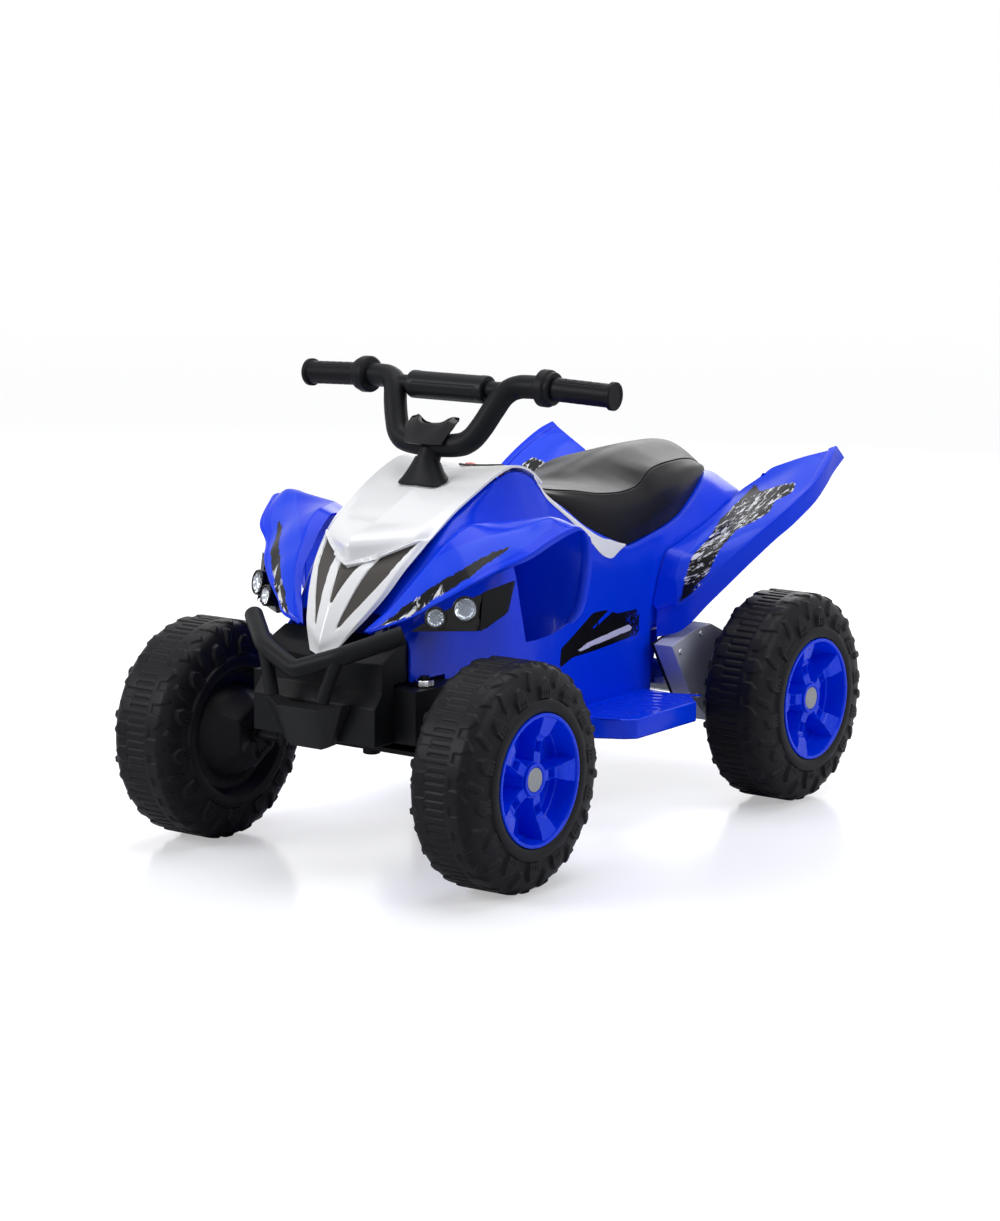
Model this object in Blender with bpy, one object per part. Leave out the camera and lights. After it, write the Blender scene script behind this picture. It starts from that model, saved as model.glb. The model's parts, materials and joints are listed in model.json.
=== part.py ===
"""A child's battery quad bike: a moulded ride-on toy with four blow-moulded wheels.

The quad stands on z = 0 with its front towards -Y and its left side at +X.  Outlines are
written in millimetres: x from the middle plane, y from the nearer axle, and the height from
the axle centres.  FRONT and REAR turn such a point into the model's frame, in metres, so the
bodywork follows the axles when the wheelbase or the wheels change.
"""
import math

import bmesh
import bpy
from mathutils import Matrix, Vector

MM = 0.001

# Running gear
WHEEL_RADIUS = 0.113
TYRE_WIDTH = 0.084
WHEELBASE = 0.503
FRONT_TRACK = 0.375
REAR_TRACK = 0.392
AXLE_RADIUS = 0.005
AXLE_HEAD_RADIUS = 0.009
AXLE_HEAD_LENGTH = 0.005
RUNNING_CLEARANCE = 0.0004
FRONT_AXLE_Y = -0.260
REAR_AXLE_Y = FRONT_AXLE_Y + WHEELBASE
AXLE_Z = WHEEL_RADIUS

# Wheel insides, measured along the axle from the wheel's middle plane
TYRE_LUGS = 20
HUB_INNER_FACE = 0.064
HUB_OUTER_FACE = 0.008
HUB_FACE_RADIUS = 0.031
HUB_FACE_EASE = 0.004
HUB_SKIRT_RADIUS = 0.0435
INNER_GROOVE_DEPTH = 0.012
INNER_GROOVE_LOW = 0.050
INNER_GROOVE_HIGH = 0.060
TYRE_WALL = 0.003
RIM_SEAT_INNER = 0.060
RIM_SEAT_OUTER = 0.0663
RIM_PROUD = 0.0006
RIM_LIP_WIDTH = 0.004
SPOKE_COUNT = 5
SPOKE_FACE = 0.0335
POCKET_FLOOR = 0.012
RIM_BACK_FACE = 0.0085
RIM_BORE_RADIUS = 0.0125
HUB_CAP_RADIUS = 0.0165
HUB_CAP_THICKNESS = 0.003

# Steering
STEER_TILT = math.radians(25.0)
HANDLEBAR_BASE_HEIGHT = 0.293
HANDLEBAR_BASE_BACK = 0.131
COLUMN_RADIUS = 0.007
KINGPIN_X = 0.090
KINGPIN_RADIUS = 0.005
STEER_ARM_LENGTH = 0.030
STEER_PIN_RADIUS = 0.0025
STEER_SLOT_SIDE_PLAY = 0.0007
STEER_SLOT_TRAVEL = 0.0040
LINK_THICKNESS = 0.005
LINK_WIDTH = 0.022
BEAM_HALF_WIDTH = 0.102
BEAM_BOTTOM = 0.022
BEAM_TOP = 0.075
HANDLEBAR_RADIUS = 0.012
CROSSBAR_RADIUS = 0.009
CROSSBAR_PAD_RADIUS = 0.0145
CROSSBAR_PAD_HALF_LENGTH = 0.048
GRIP_RADIUS = 0.012
GRIP_FLANGE_RADIUS = 0.0145
GRIP_CORE_RADIUS = 0.0085
DRUM_RADIUS = 0.019

# Bodywork
PANEL_WALL = 0.0025
SEAT_WALL = 0.003
BODY_HALF_WIDTH = 0.085
TRAY_THICKNESS = 0.006
TRAY_BOTTOM = -0.007
FOOTBOARD_TOP = 0.010
FOOTBOARD_THICKNESS = 0.021
FOOTBOARD_HALF_SPAN = 0.170
SEAM = 0.0005
BUMPER_RADIUS = 0.0085
LENS_OUTER_RADIUS = 0.0110
LENS_INNER_RADIUS = 0.0090
LENS_DEPTH = 0.005

# Drive
GEAR_MODULE = 0.002
DRIVE_GEAR_TEETH = 30
PINION_TEETH = 10
GEAR_WIDTH = 0.008
DRIVE_GEAR_X = 0.0941
MOTOR_RADIUS = 0.018
MOTOR_LENGTH = 0.052
GEARBOX_WALL = 0.003

BLUE = (0.0, 0.035, 0.80, 1.0)
BLACK = (0.012, 0.012, 0.014, 1.0)
WHITE = (0.86, 0.87, 0.88, 1.0)
GREY = (0.10, 0.095, 0.09, 1.0)
PALE_GREY = (0.42, 0.43, 0.47, 1.0)
STEEL = (0.55, 0.56, 0.58, 1.0)
CLEAR = (0.75, 0.78, 0.82, 1.0)
RED = (0.70, 0.04, 0.02, 1.0)


def clear_scene():
    for thing in list(bpy.data.objects):
        bpy.data.objects.remove(thing, do_unlink=True)


def front(x, y, height):
    """A point drawn from the front axle."""
    return Vector((x * MM, FRONT_AXLE_Y + y * MM, AXLE_Z + height * MM))


def rear(x, y, height):
    """A point drawn from the rear axle."""
    return Vector((x * MM, REAR_AXLE_Y + y * MM, AXLE_Z + height * MM))


def mirrored(points, side):
    """The same points for the left (+1) or the right (-1) of the quad."""
    return [Vector((p.x * side, p.y, p.z)) for p in points]


def finish(name, color, roughness, metallic=0.0):
    material = bpy.data.materials.get(name) or bpy.data.materials.new(name)
    material.use_nodes = True
    shader = material.node_tree.nodes["Principled BSDF"]
    shader.inputs["Base Color"].default_value = color
    shader.inputs["Roughness"].default_value = roughness
    shader.inputs["Metallic"].default_value = metallic
    return material


BODY_BLUE = ("body_blue", BLUE, 0.25)
COWL_WHITE = ("cowl_white", WHITE, 0.25)
FRAME_BLACK = ("frame_black", BLACK, 0.55)
GLOSS_BLACK = ("gloss_black", BLACK, 0.2)
INSERT_GREY = ("insert_grey", GREY, 0.45)
TYRE_BLACK = ("tyre_black", BLACK, 0.65)
GEARBOX_GREY = ("gearbox_grey", PALE_GREY, 0.45)
BRIGHT_STEEL = ("bright_steel", STEEL, 0.3, 1.0)
LENS_CLEAR = ("lens_clear", CLEAR, 0.1)
SWITCH_RED = ("switch_red", RED, 0.35)


def add_mesh(name, mesh, look, smooth_angle=35.0):
    bm = bmesh.new()
    bm.from_mesh(mesh)
    bmesh.ops.triangulate(bm, faces=bm.faces)
    bmesh.ops.recalc_face_normals(bm, faces=bm.faces)
    bm.to_mesh(mesh)
    bm.free()
    mesh.shade_smooth()
    mesh.set_sharp_from_angle(angle=math.radians(smooth_angle))
    thing = bpy.data.objects.new(name, mesh)
    if look is not None:
        mesh.materials.append(finish(*look))
    bpy.context.scene.collection.objects.link(thing)
    return thing


def from_faces(name, points, faces, look, smooth_angle=35.0):
    mesh = bpy.data.meshes.new(name)
    mesh.from_pydata([tuple(p) for p in points], [], faces)
    return add_mesh(name, mesh, look, smooth_angle)


def set_origin(thing, origin):
    """Move the object's origin to a joint axis and leave its mesh where it is."""
    thing.data.transform(Matrix.Translation(-Vector(origin)))
    thing.location = origin


def loft(name, rings, look, smooth_angle=35.0):
    """A solid through rings of equal point counts, closed by a flat face at each end."""
    count = len(rings[0])
    points = [p for ring in rings for p in ring]
    faces = [tuple(range(count))]
    faces.append(tuple(reversed(range(len(points) - count, len(points)))))
    for row in range(len(rings) - 1):
        for k in range(count):
            a = row * count + k
            b = row * count + (k + 1) % count
            faces.append((a, b, b + count, a + count))
    return from_faces(name, points, faces, look, smooth_angle)


def prism(name, outline, axis, low, high, look, smooth_angle=35.0):
    """An outline of (first, second) coordinates carried along the third axis."""
    places = {"X": (1, 2, 0), "Y": (0, 2, 1), "Z": (0, 1, 2)}[axis]
    rings = []
    for level in (low, high):
        ring = []
        for first, second in outline:
            point = [0.0, 0.0, 0.0]
            point[places[0]] = first
            point[places[1]] = second
            point[places[2]] = level
            ring.append(Vector(point))
        rings.append(ring)
    return loft(name, rings, look, smooth_angle)


def box(name, low, high, look):
    outline = [(low[0], low[1]), (high[0], low[1]), (high[0], high[1]), (low[0], high[1])]
    return prism(name, outline, "Z", low[2], high[2], look)


def axis_frame(axis):
    """Two directions square to an axis."""
    axis = Vector(axis).normalized()
    helper = Vector((0, 0, 1)) if abs(axis.z) < 0.9 else Vector((0, 1, 0))
    first = helper.cross(axis).normalized()
    return axis, first, axis.cross(first)


def turned(name, profile, centre, axis, look, segments=24, smooth_angle=35.0):
    """A profile of (place along the axis, radius) turned round the axis.

    A profile that starts and ends at radius zero gives a solid; any other is a closed ring.
    """
    centre = Vector(centre)
    axis, first, second = axis_frame(axis)
    solid = profile[0][1] == 0 and profile[-1][1] == 0
    body = profile[1:-1] if solid else profile
    points = []
    for along, radius in body:
        for k in range(segments):
            turn = 2 * math.pi * k / segments
            spoke = first * math.cos(turn) + second * math.sin(turn)
            points.append(centre + axis * along + spoke * radius)
    faces = []
    rows = len(body)
    last = rows - 1 if solid else rows
    for row in range(last):
        after = (row + 1) % rows
        for k in range(segments):
            n = (k + 1) % segments
            faces.append((row * segments + k, row * segments + n,
                          after * segments + n, after * segments + k))
    if solid:
        for row, end in ((0, 0), (rows - 1, -1)):
            pole = len(points)
            points.append(centre + axis * profile[end][0])
            for k in range(segments):
                faces.append((row * segments + k, row * segments + (k + 1) % segments, pole))
    return from_faces(name, points, faces, look, smooth_angle)


def smooth_path(points, steps):
    """A Catmull-Rom curve through the points, with a number of steps between each pair."""
    padded = [points[0] * 2 - points[1]] + list(points) + [points[-1] * 2 - points[-2]]
    path = []
    for i in range(1, len(padded) - 2):
        a, b, c, d = padded[i - 1:i + 3]
        for k in range(steps):
            t = k / steps
            path.append(0.5 * (2 * b + (c - a) * t + (2 * a - 5 * b + 4 * c - d) * t * t
                               + (3 * b - a - 3 * c + d) * t ** 3))
    path.append(padded[-2])
    return path


def pipe(name, path, radii, look, sides=12):
    """A round bar along a path, with a radius for each point."""
    tangents = []
    for i in range(len(path)):
        before = path[max(i - 1, 0)]
        after = path[min(i + 1, len(path) - 1)]
        tangents.append((after - before).normalized())
    side = axis_frame(tangents[0])[1]
    rings = []
    for point, tangent, radius in zip(path, tangents, radii):
        side = (side - tangent * side.dot(tangent)).normalized()
        other = tangent.cross(side)
        rings.append([point + side * radius * math.cos(2 * math.pi * k / sides)
                      + other * radius * math.sin(2 * math.pi * k / sides)
                      for k in range(sides)])
    return loft(name, rings, look)


def grid_normals(rows, cyclic):
    tall = len(rows)
    wide = len(rows[0])
    normals = [[Vector() for _ in range(wide)] for _ in range(tall)]
    for i in range(tall - 1):
        for j in range(wide if cyclic else wide - 1):
            n = (j + 1) % wide
            corners = [rows[i][j], rows[i + 1][j], rows[i + 1][n], rows[i][n]]
            flat = (corners[2] - corners[0]).cross(corners[3] - corners[1])
            for a, b in ((i, j), (i + 1, j), (i + 1, n), (i, n)):
                normals[a][b] += flat
    return normals


def sheet(name, rows, wall, inside, look, cyclic=False, smooth_angle=35.0):
    """A moulded panel: a grid of points, given a wall towards a point inside it."""
    normals = grid_normals(rows, cyclic)
    inside = Vector(inside)
    facing = sum(normals[i][j].dot(rows[i][j] - inside)
                 for i in range(len(rows)) for j in range(len(rows[0])))
    sign = 1.0 if facing > 0 else -1.0
    points = [p for row in rows for p in row]
    inner = []
    for i, row in enumerate(rows):
        for j, p in enumerate(row):
            inner.append(p - normals[i][j].normalized() * wall * sign)
    tall = len(rows)
    wide = len(rows[0])
    total = len(points)
    faces = []
    for i in range(tall - 1):
        for j in range(wide if cyclic else wide - 1):
            n = (j + 1) % wide
            a, b, c, d = i * wide + j, i * wide + n, (i + 1) * wide + n, (i + 1) * wide + j
            faces.append((a, b, c, d))
            faces.append((total + d, total + c, total + b, total + a))
    rim = []
    for j in range(wide if cyclic else wide - 1):
        n = (j + 1) % wide
        rim.append((j, n))
        rim.append(((tall - 1) * wide + n, (tall - 1) * wide + j))
    if not cyclic:
        for i in range(tall - 1):
            rim.append(((i + 1) * wide, i * wide))
            rim.append((i * wide + wide - 1, (i + 1) * wide + wide - 1))
    for a, b in rim:
        faces.append((b, a, total + a, total + b))
    return from_faces(name, points + inner, faces, look, smooth_angle)


def combine(thing, other, operation):
    """Cut another solid away from a piece, or weld it on; the other stays as a guide."""
    other.hide_render = True
    other.display_type = "WIRE"
    change = thing.modifiers.new(operation.lower(), "BOOLEAN")
    change.operation = operation
    change.solver = "EXACT"
    change.object = other
    return thing


def both_sides(half):
    """A full cross section from its left half, which ends on the middle plane."""
    return half + [Vector((-p.x, p.y, p.z)) for p in reversed(half[:-1])]


# The main body shell: tunnel, side panels, tank sides and tail.  Each line of a station is
# bottom edge, lower side, side, valley or shoulder, top edge, deck edge, deck middle.
FRONT_STATIONS = [
    (-9, [(80, 79.5), (80, 95), (80, 118), (58, 138), (46, 143), (30, 143), (0, 143)]),
    (12, [(80, 79.5), (80, 100), (80, 130), (67, 166), (54, 172), (40, 170), (0, 166)]),
    (30, [(80, 79.5), (80, 110), (80, 150), (71.5, 185), (59, 190), (40, 186), (0, 180)]),
    (46.5, [(80, 79.5), (80, 110), (80, 165), (75.5, 204), (63, 207), (40, 202), (0, 196)]),
    (48.5, [(80, -9), (80, 60), (80, 167), (76, 206), (63.5, 209), (40, 204), (0, 198)]),
    (72, [(80, -9), (80, 60), (81, 170), (80, 219), (65.5, 227), (45, 227), (0, 227)]),
    (95, [(81, -9), (81, 60), (83, 170), (85, 221), (66.5, 238), (45, 236), (0, 236)]),
    (115, [(82, -9), (82, 60), (84, 160), (87, 219), (67.5, 247.5), (46, 245), (0, 245)]),
    (150, [(84, -9), (84, 60), (85, 135), (90, 214), (69, 264), (50, 250), (0, 250)]),
    (173, [(84, -9), (84, 60), (85, 135), (90, 211), (69.5, 269), (50, 254), (0, 254)]),
    (190, [(85, -9), (85, 60), (85, 135), (89.5, 208), (70, 266.5), (52, 254), (0, 254)]),
    (205, [(85, -9), (85, 60), (85, 135), (89, 204), (72, 259.5), (55, 244), (0, 238)]),
    (222, [(85, -9), (85, 60), (85, 135), (88.5, 200), (75, 242.5), (60, 239), (0, 233)]),
]
SEAT_EDGE_FRONT = [(226, 239), (250, 225), (290, 200), (330, 183), (350, 176)]
SEAT_EDGE_REAR = [(-137, 170), (-95, 176), (-61, 182), (-28, 190), (2, 202), (32, 214.5),
                  (57, 222.5), (82, 224.5)]
SIDE_FRONT = [(88.5, 198), (88.5, 188), (87.5, 172), (87, 158), (87, 152.5)]
SIDE_REAR = [(87, 148), (87.5, 150), (94, 160), (94, 168), (94, 176), (93.5, 190), (92, 200),
             (88, 203)]
LOWER_REAR = [
    [(85, -9), (85, 60), (85.5, 115)],
    [(85, -9), (85, 66), (86, 80)],
    [(62, -9), (62, 66), (90, 72)],
    [(70, 72), (82, 72), (93.5, 76)],
    [(70, 80), (82, 80), (93.5, 90)],
    [(70, 95), (82, 96), (93, 110)],
    [(68, 108), (80, 110), (91, 125)],
    [(66, 118), (76, 120), (87, 135)],
]
SEAT_TOP_X = [(76.5, 60), (80, 62), (83, 62), (84, 62), (84, 62)]
SEAT_TOP_X_REAR = [(84, 62), (84, 62), (82, 60), (79, 58), (74, 54), (67, 48), (58, 40), (48, 30)]
TAIL_STATIONS = [
    (97, [(64, 122), (72, 124), (82, 138), (82, 196), (46, 214), (30, 215), (0, 215)]),
    (109, [(62, 124), (70, 126), (76, 138), (76, 188), (44, 200), (28, 201), (0, 201)]),
    (113, [(62, 124), (56, 124), (50, 124), (40, 124), (30, 124), (15, 124), (0, 124)]),
]
DECK_DROP = 0.6
DECK_DIP = (6, 1, 0, 0, 0)
HINGE_LUG = [(-5, -11), (-5, 2), (-2.5, 5), (2.5, 5), (5, 2), (5, -13)]


def section(place, y, line):
    return [place(x, y, height) for x, height in line]


def body_rows():
    rows = [section(front, y, line) for y, line in FRONT_STATIONS]
    for (y, edge), side, top, dip in zip(SEAT_EDGE_FRONT, SIDE_FRONT, SEAT_TOP_X, DECK_DIP):
        deck = edge - DECK_DROP
        line = [(85, -9), (85, 60), (85.3, 125), side, (top[0], deck), (top[1], deck),
                (0, deck - dip)]
        rows.append(section(front, y, line))
    for (y, edge), side, lower, top in zip(SEAT_EDGE_REAR, SIDE_REAR, LOWER_REAR,
                                           SEAT_TOP_X_REAR):
        deck = edge - DECK_DROP
        line = lower + [side, (top[0], deck), (top[1], deck), (0, deck)]
        rows.append(section(rear, y, line))
        if lower[1] == (85, 66):
            step = [(62, -9), (62, 66), (87, 70), (88, 151), (83.9, deck + 0.7),
                    (top[1], deck + 0.7), (0, deck + 0.7)]
            rows.append(section(rear, y + 4, step))
        if lower[1] == (62, 66):
            step = [(70, 69), (80, 70), (90.5, 73), (94, 161), (81.7, deck + 1.1),
                    (top[1], deck + 1.1), (0, deck + 1.1)]
            rows.append(section(rear, y + 5, step))
    rows += [section(rear, y, line) for y, line in TAIL_STATIONS]
    return [both_sides(row) for row in rows]


def column_line():
    """The steering axis: a point at the handlebar's foot, and its direction."""
    base = Vector((0, FRONT_AXLE_Y + HANDLEBAR_BASE_BACK, AXLE_Z + HANDLEBAR_BASE_HEIGHT))
    return base, Vector((0, math.sin(STEER_TILT), math.cos(STEER_TILT)))


def column_hole(name, low, high, clearance):
    base, axis = column_line()
    radius = COLUMN_RADIUS + clearance
    return turned(name, [(low, 0), (low, radius), (high, radius), (high, 0)], base, axis, None,
                  segments=16)


def make_body_shell():
    inside = (0, (FRONT_AXLE_Y + REAR_AXLE_Y) / 2, AXLE_Z + 0.05)
    shell = sheet("body_shell", body_rows(), PANEL_WALL, inside, BODY_BLUE)
    combine(shell, column_hole("deck_hole", -0.120, -0.020, 0.001), "DIFFERENCE")
    hinge = seat_hinge()
    for side in (-1, 1):
        lug = [(hinge.y + y * MM, hinge.z + height * MM) for y, height in HINGE_LUG]
        ends = sorted((side * (SEAT_ARM_X + 0.0055), side * (SEAT_PIN_HALF_LENGTH - 0.0005)))
        combine(shell, prism(f"hinge_lug_{side}", lug, "X", ends[0], ends[1], None), "UNION")
    bore = SEAT_PIN_RADIUS + SEAM / 2
    pin = turned("hinge_lug_bore", [(-0.05, 0), (-0.05, bore), (0.05, bore), (0.05, 0)], hinge,
                 (1, 0, 0), None, segments=12)
    combine(shell, pin, "DIFFERENCE")
    socket = front(-BODY_HALF_WIDTH / MM, 250, 65)
    hole = turned("socket_hole", [(-0.02, 0), (-0.02, SOCKET_BARREL_RADIUS + SEAM),
                                  (0.02, SOCKET_BARREL_RADIUS + SEAM), (0.02, 0)],
                  socket, (1, 0, 0), None, segments=16)
    combine(shell, hole, "DIFFERENCE")


SOCKET_BARREL_RADIUS = 0.0065
SOCKET_FLANGE_RADIUS = 0.009
SOCKET_DEPTH = 0.014


def make_charge_socket():
    face = front(-BODY_HALF_WIDTH / MM, 250, 65)
    profile = [(0.0015 + SOCKET_DEPTH, 0), (0.0015 + SOCKET_DEPTH, SOCKET_BARREL_RADIUS),
               (-SEAM, SOCKET_BARREL_RADIUS), (-SEAM, SOCKET_FLANGE_RADIUS),
               (-0.002, SOCKET_FLANGE_RADIUS), (-0.002, 0.0035), (0.008, 0.0035), (0.008, 0)]
    turned("charge_socket", profile, face, (1, 0, 0), FRAME_BLACK, segments=10)


# The white nose cowl: its left edge and its middle line, from the tip to the dashboard.
COWL_LINES = [
    ((14, -49, 107), (0, -54, 104)),
    ((28, -36, 125.6), (0, -49.5, 114)),
    ((38.5, -21.5, 142.5), (0, -40, 137)),
    ((49, -5, 163), (0, -28, 160)),
    ((57, 13, 186), (0, -14, 178)),
    ((62.5, 33, 204.5), (0, -1.6, 188)),
    ((64.5, 42, 212), (0, -4.6, 205.3)),
    ((66.6, 61, 226), (0, 40, 223)),
    ((67, 80, 237), (0, 80, 243)),
    ((69, 110, 252), (0, 115, 257.5)),
    ((70, 150, 268.5), (0, 150, 262)),
    ((70.5, 173, 273.5), (0, 172, 266)),
    ((71, 190, 271), (0, 190, 266)),
    ((73, 205, 264), (0, 207, 262)),
    ((75, 219, 252), (0, 220, 257)),
]
COWL_FRACTIONS = (1.0, 0.88, 0.65, 0.42, 0.22, 0.0)


def cowl_point(row, fraction):
    """A point of the cowl at a place between its rows, from its middle (0) to its edge (1)."""
    low = min(int(row), len(COWL_LINES) - 2)
    blend = row - low
    edge = Vector(COWL_LINES[low][0]).lerp(Vector(COWL_LINES[low + 1][0]), blend)
    middle = Vector(COWL_LINES[low][1]).lerp(Vector(COWL_LINES[low + 1][1]), blend)
    return middle.lerp(edge, fraction)


def make_nose_cowl():
    rows = []
    for row in range(len(COWL_LINES)):
        half = [front(*cowl_point(row, fraction)) for fraction in COWL_FRACTIONS]
        rows.append(both_sides(half))
    inside = front(0, 90, 60)
    cowl = sheet("nose_cowl", rows, PANEL_WALL, inside, COWL_WHITE)
    combine(cowl, column_hole("cowl_hole", -0.080, -0.015, 0.001), "DIFFERENCE")
    for slot in DASH_SLOTS:
        combine(cowl, slot(), "DIFFERENCE")


INSERT_WALL = 0.0012
INSERT_STAND = 0.0034
CENTRE_STAND = 0.0021


def insert_plate(name, rows, side, stand=INSERT_STAND):
    """A dark panel that lies on the cowl between two edges, drawn as (row, from, to)."""
    grid = []
    for row, low, high in rows:
        line = []
        for fraction in (low, (low + high) / 2, high):
            across = abs(fraction)
            sign = -1 if fraction < 0 else 1
            here = cowl_point(row, across)
            ahead = cowl_point(row + 0.2, across) - cowl_point(row - 0.2, across)
            out = cowl_point(row, across + 0.05) - cowl_point(row, max(across - 0.05, 0))
            normal = Vector(out).cross(Vector(ahead)).normalized()
            point = front(*(here + normal * (stand / MM)))
            line.append(Vector((point.x * side * sign, point.y, point.z)))
        grid.append(line)
    sheet(name, grid, INSERT_WALL, front(0, 60, 60), INSERT_GREY)


def make_grille_inserts():
    side_rows = [(1.7, 0.34, 0.44), (2.4, 0.34, 0.62), (3.4, 0.36, 0.78), (4.9, 0.42, 0.86)]
    insert_plate("grille_left", side_rows, 1)
    insert_plate("grille_right", side_rows, -1)
    insert_plate("grille_center", [(3.0, -0.01, 0.01), (4.0, -0.11, 0.11), (4.9, -0.2, 0.2)], 1,
                 CENTRE_STAND)


# Front fender, left: root, ridge, crown, outer edge and lip, from the tip to the mudguard.
FENDER_ROWS = [
    [(38, -30, 128), (40, -30, 129), (42, -30.5, 129), (44, -30, 127.5), (43, -26, 126)],
    [(48, -19, 141), (52, -21, 142), (56, -27, 138), (60, -32, 133), (57, -27, 131.5)],
    [(58, -8, 153), (64, -11, 158), (75, -14, 155), (86, -13, 144.5), (82, -8, 143)],
    [(69, 10, 178), (78, 8, 183), (91, 2, 174), (102, -4, 155.5), (98, 2, 154)],
    [(73.5, 29, 194), (84, 27, 201), (102, 19, 188), (118, 8, 166.5), (114, 14, 165)],
    [(77.5, 47, 209.5), (91, 46, 217), (113, 37, 203), (133, 22, 178), (129, 28, 176)],
    [(82, 72, 222.5), (97, 71, 228), (124, 59, 216), (148, 43, 190), (145, 49, 187)],
    [(85.4, 95, 219.5), (104, 94, 228.5), (148, 84, 227), (171, 61, 205), (170, 67, 201)],
    [(87.0, 110, 218.5), (109, 110, 228), (169, 103, 238), (185, 92, 222), (183, 97, 217)],
    [(87.7, 120, 214), (116, 118, 221), (165, 115, 236), (192, 112, 229), (192, 116, 225)],
    [(88.2, 130, 207), (122, 129, 211), (165, 130, 226), (190, 131, 219), (190, 135, 217)],
    [(100, 138, 174), (124, 139, 174), (160, 141, 177), (182, 144, 180), (183, 148, 178)],
    [(112, 134, 130), (130, 135, 132), (156, 136, 136), (177, 139, 142), (178, 143, 142)],
    [(122, 128, 104), (136, 128, 108), (154, 130, 116), (170, 133, 128), (171, 137, 130)],
]


def make_front_fender(name, side):
    rows = [mirrored([front(*p) for p in line], side) for line in FENDER_ROWS]
    inside = front(110 * side, 60, 60)
    sheet(name, rows, PANEL_WALL, inside, BODY_BLUE)


# Rear fender, left: root on the body, two points of the dished top, rim top and rim bottom.
WING_ROWS = [
    [(88.5, -95, 101), (90, -95, 99), (91.5, -95, 97), (93, -94.5, 95), (93, -94.5, 65)],
    [(90, -89, 125), (97, -90, 115), (107, -89, 107), (116, -87, 105), (116, -87, 72)],
    [(91.8, -83, 143), (106, -84, 134), (128, -78, 131), (146, -72, 134), (146, -72, 105)],
    [(93.5, -75, 157), (112, -74, 151), (143, -62, 156), (173, -47, 166), (173, -47, 141)],
    [(95, -61, 162), (118, -55, 160), (156, -37, 176), (191, -18, 193), (191, -18, 169)],
    [(95, -33, 170), (120, -24, 173), (163, -7, 193), (200, 12, 211), (200, 12, 187)],
    [(95, -3, 179), (122, 6, 187), (166, 25, 209), (203, 47, 228), (203, 47, 205)],
    [(94.8, 37, 194), (122, 44, 204), (165, 58, 226), (200, 77, 244), (200, 77, 219)],
    [(93.5, 62, 203), (121, 68, 215), (162, 80, 237), (196, 97, 254), (196, 97, 226)],
    [(117, 80, 225), (124, 86, 233), (156, 97, 246), (191, 112, 260), (191, 130, 233)],
]


def make_rear_fender(name, side):
    rows = [mirrored([rear(*p) for p in line], side) for line in WING_ROWS]
    inside = rear(130 * side, 0, 60)
    sheet(name, rows, PANEL_WALL, inside, BODY_BLUE)


FOOTBOARD_FRONT = [(130, 231), (160, 247), (170, 257)]
FOOTBOARD_REAR = [(170, -133), (141, -102), (128, -109)]


def make_footboard(name, side):
    root = BODY_HALF_WIDTH + SEAM
    outline = [front(root / MM, 206, 0)]
    widen = FOOTBOARD_HALF_SPAN / MM - FOOTBOARD_FRONT[-1][0]
    outline += [front(x + widen, y, 0) for x, y in FOOTBOARD_FRONT]
    outline += [rear(x + widen, y, 0) for x, y in FOOTBOARD_REAR]
    outline.append(rear(root / MM, -104, 0))
    flat = [(p.x * side, p.y) for p in outline]
    low = AXLE_Z + FOOTBOARD_TOP - FOOTBOARD_THICKNESS
    board = prism(name, flat, "Z", low, AXLE_Z + FOOTBOARD_TOP, BODY_BLUE)
    hollow = [(p.x * side, p.y) for p in inset([Vector((q.x, q.y, 0)) for q in outline],
                                               PANEL_WALL)]
    cutter = prism(name + "_hollow", hollow, "Z", low - 0.01,
                   AXLE_Z + FOOTBOARD_TOP - PANEL_WALL, None)
    combine(board, cutter, "DIFFERENCE")


def inset(outline, wall):
    """An outline in the XY plane moved inwards by a wall."""
    area = sum(a.x * b.y - b.x * a.y for a, b in zip(outline, outline[1:] + outline[:1]))
    turn = 1.0 if area > 0 else -1.0
    result = []
    for i, point in enumerate(outline):
        before = (point - outline[i - 1]).normalized()
        after = (outline[(i + 1) % len(outline)] - point).normalized()
        first = Vector((-before.y, before.x, 0)) * turn
        second = Vector((-after.y, after.x, 0)) * turn
        middle = (first + second).normalized()
        result.append(point + middle * wall / max(middle.dot(first), 0.3))
    return result


# The seat: half width, and the heights of its edge, crease, quarter line and middle.
SEAT_FRONT = [(227, 52, 239.5, 248, 247.5, 246), (250, 66, 225, 247, 244.5, 243),
              (290, 76, 200, 240, 239, 238), (330, 80, 183, 229, 234.5, 236.5),
              (350, 81, 176, 224, 233.5, 239)]
SEAT_REAR = [(-137, 82, 170, 222.5, 236, 246), (-95, 81, 176, 225.5, 241.5, 254.5),
             (-61, 79, 182, 234, 246.5, 259.5), (-28, 75, 190, 240.5, 252, 262.5),
             (2, 69, 202, 242, 254.5, 263), (32, 61, 214.5, 240, 256, 262.5),
             (57, 52, 222.5, 235, 253, 260), (77, 41, 224, 230, 242.5, 251)]
SEAT_CREASE = 0.86
SEAT_QUARTER = 0.42
SEAT_HINGE_BACK = 0.212
SEAT_HINGE_RISE = 0.00903
SEAT_PIN_RADIUS = 0.0025
SEAT_PIN_HALF_LENGTH = 0.030
SEAT_ARM_X = 0.018


def deck_height(x, y):
    """The height of the deck above the axle, between two stations of the body, in mm."""
    for (near, first), (far, second) in zip(FRONT_STATIONS, FRONT_STATIONS[1:]):
        if near <= y <= far:
            heights = [line[-1][1] + (line[-2][1] - line[-1][1]) * x / line[-2][0]
                       for line in (first, second)]
            return heights[0] + (heights[1] - heights[0]) * (y - near) / (far - near)


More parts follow.
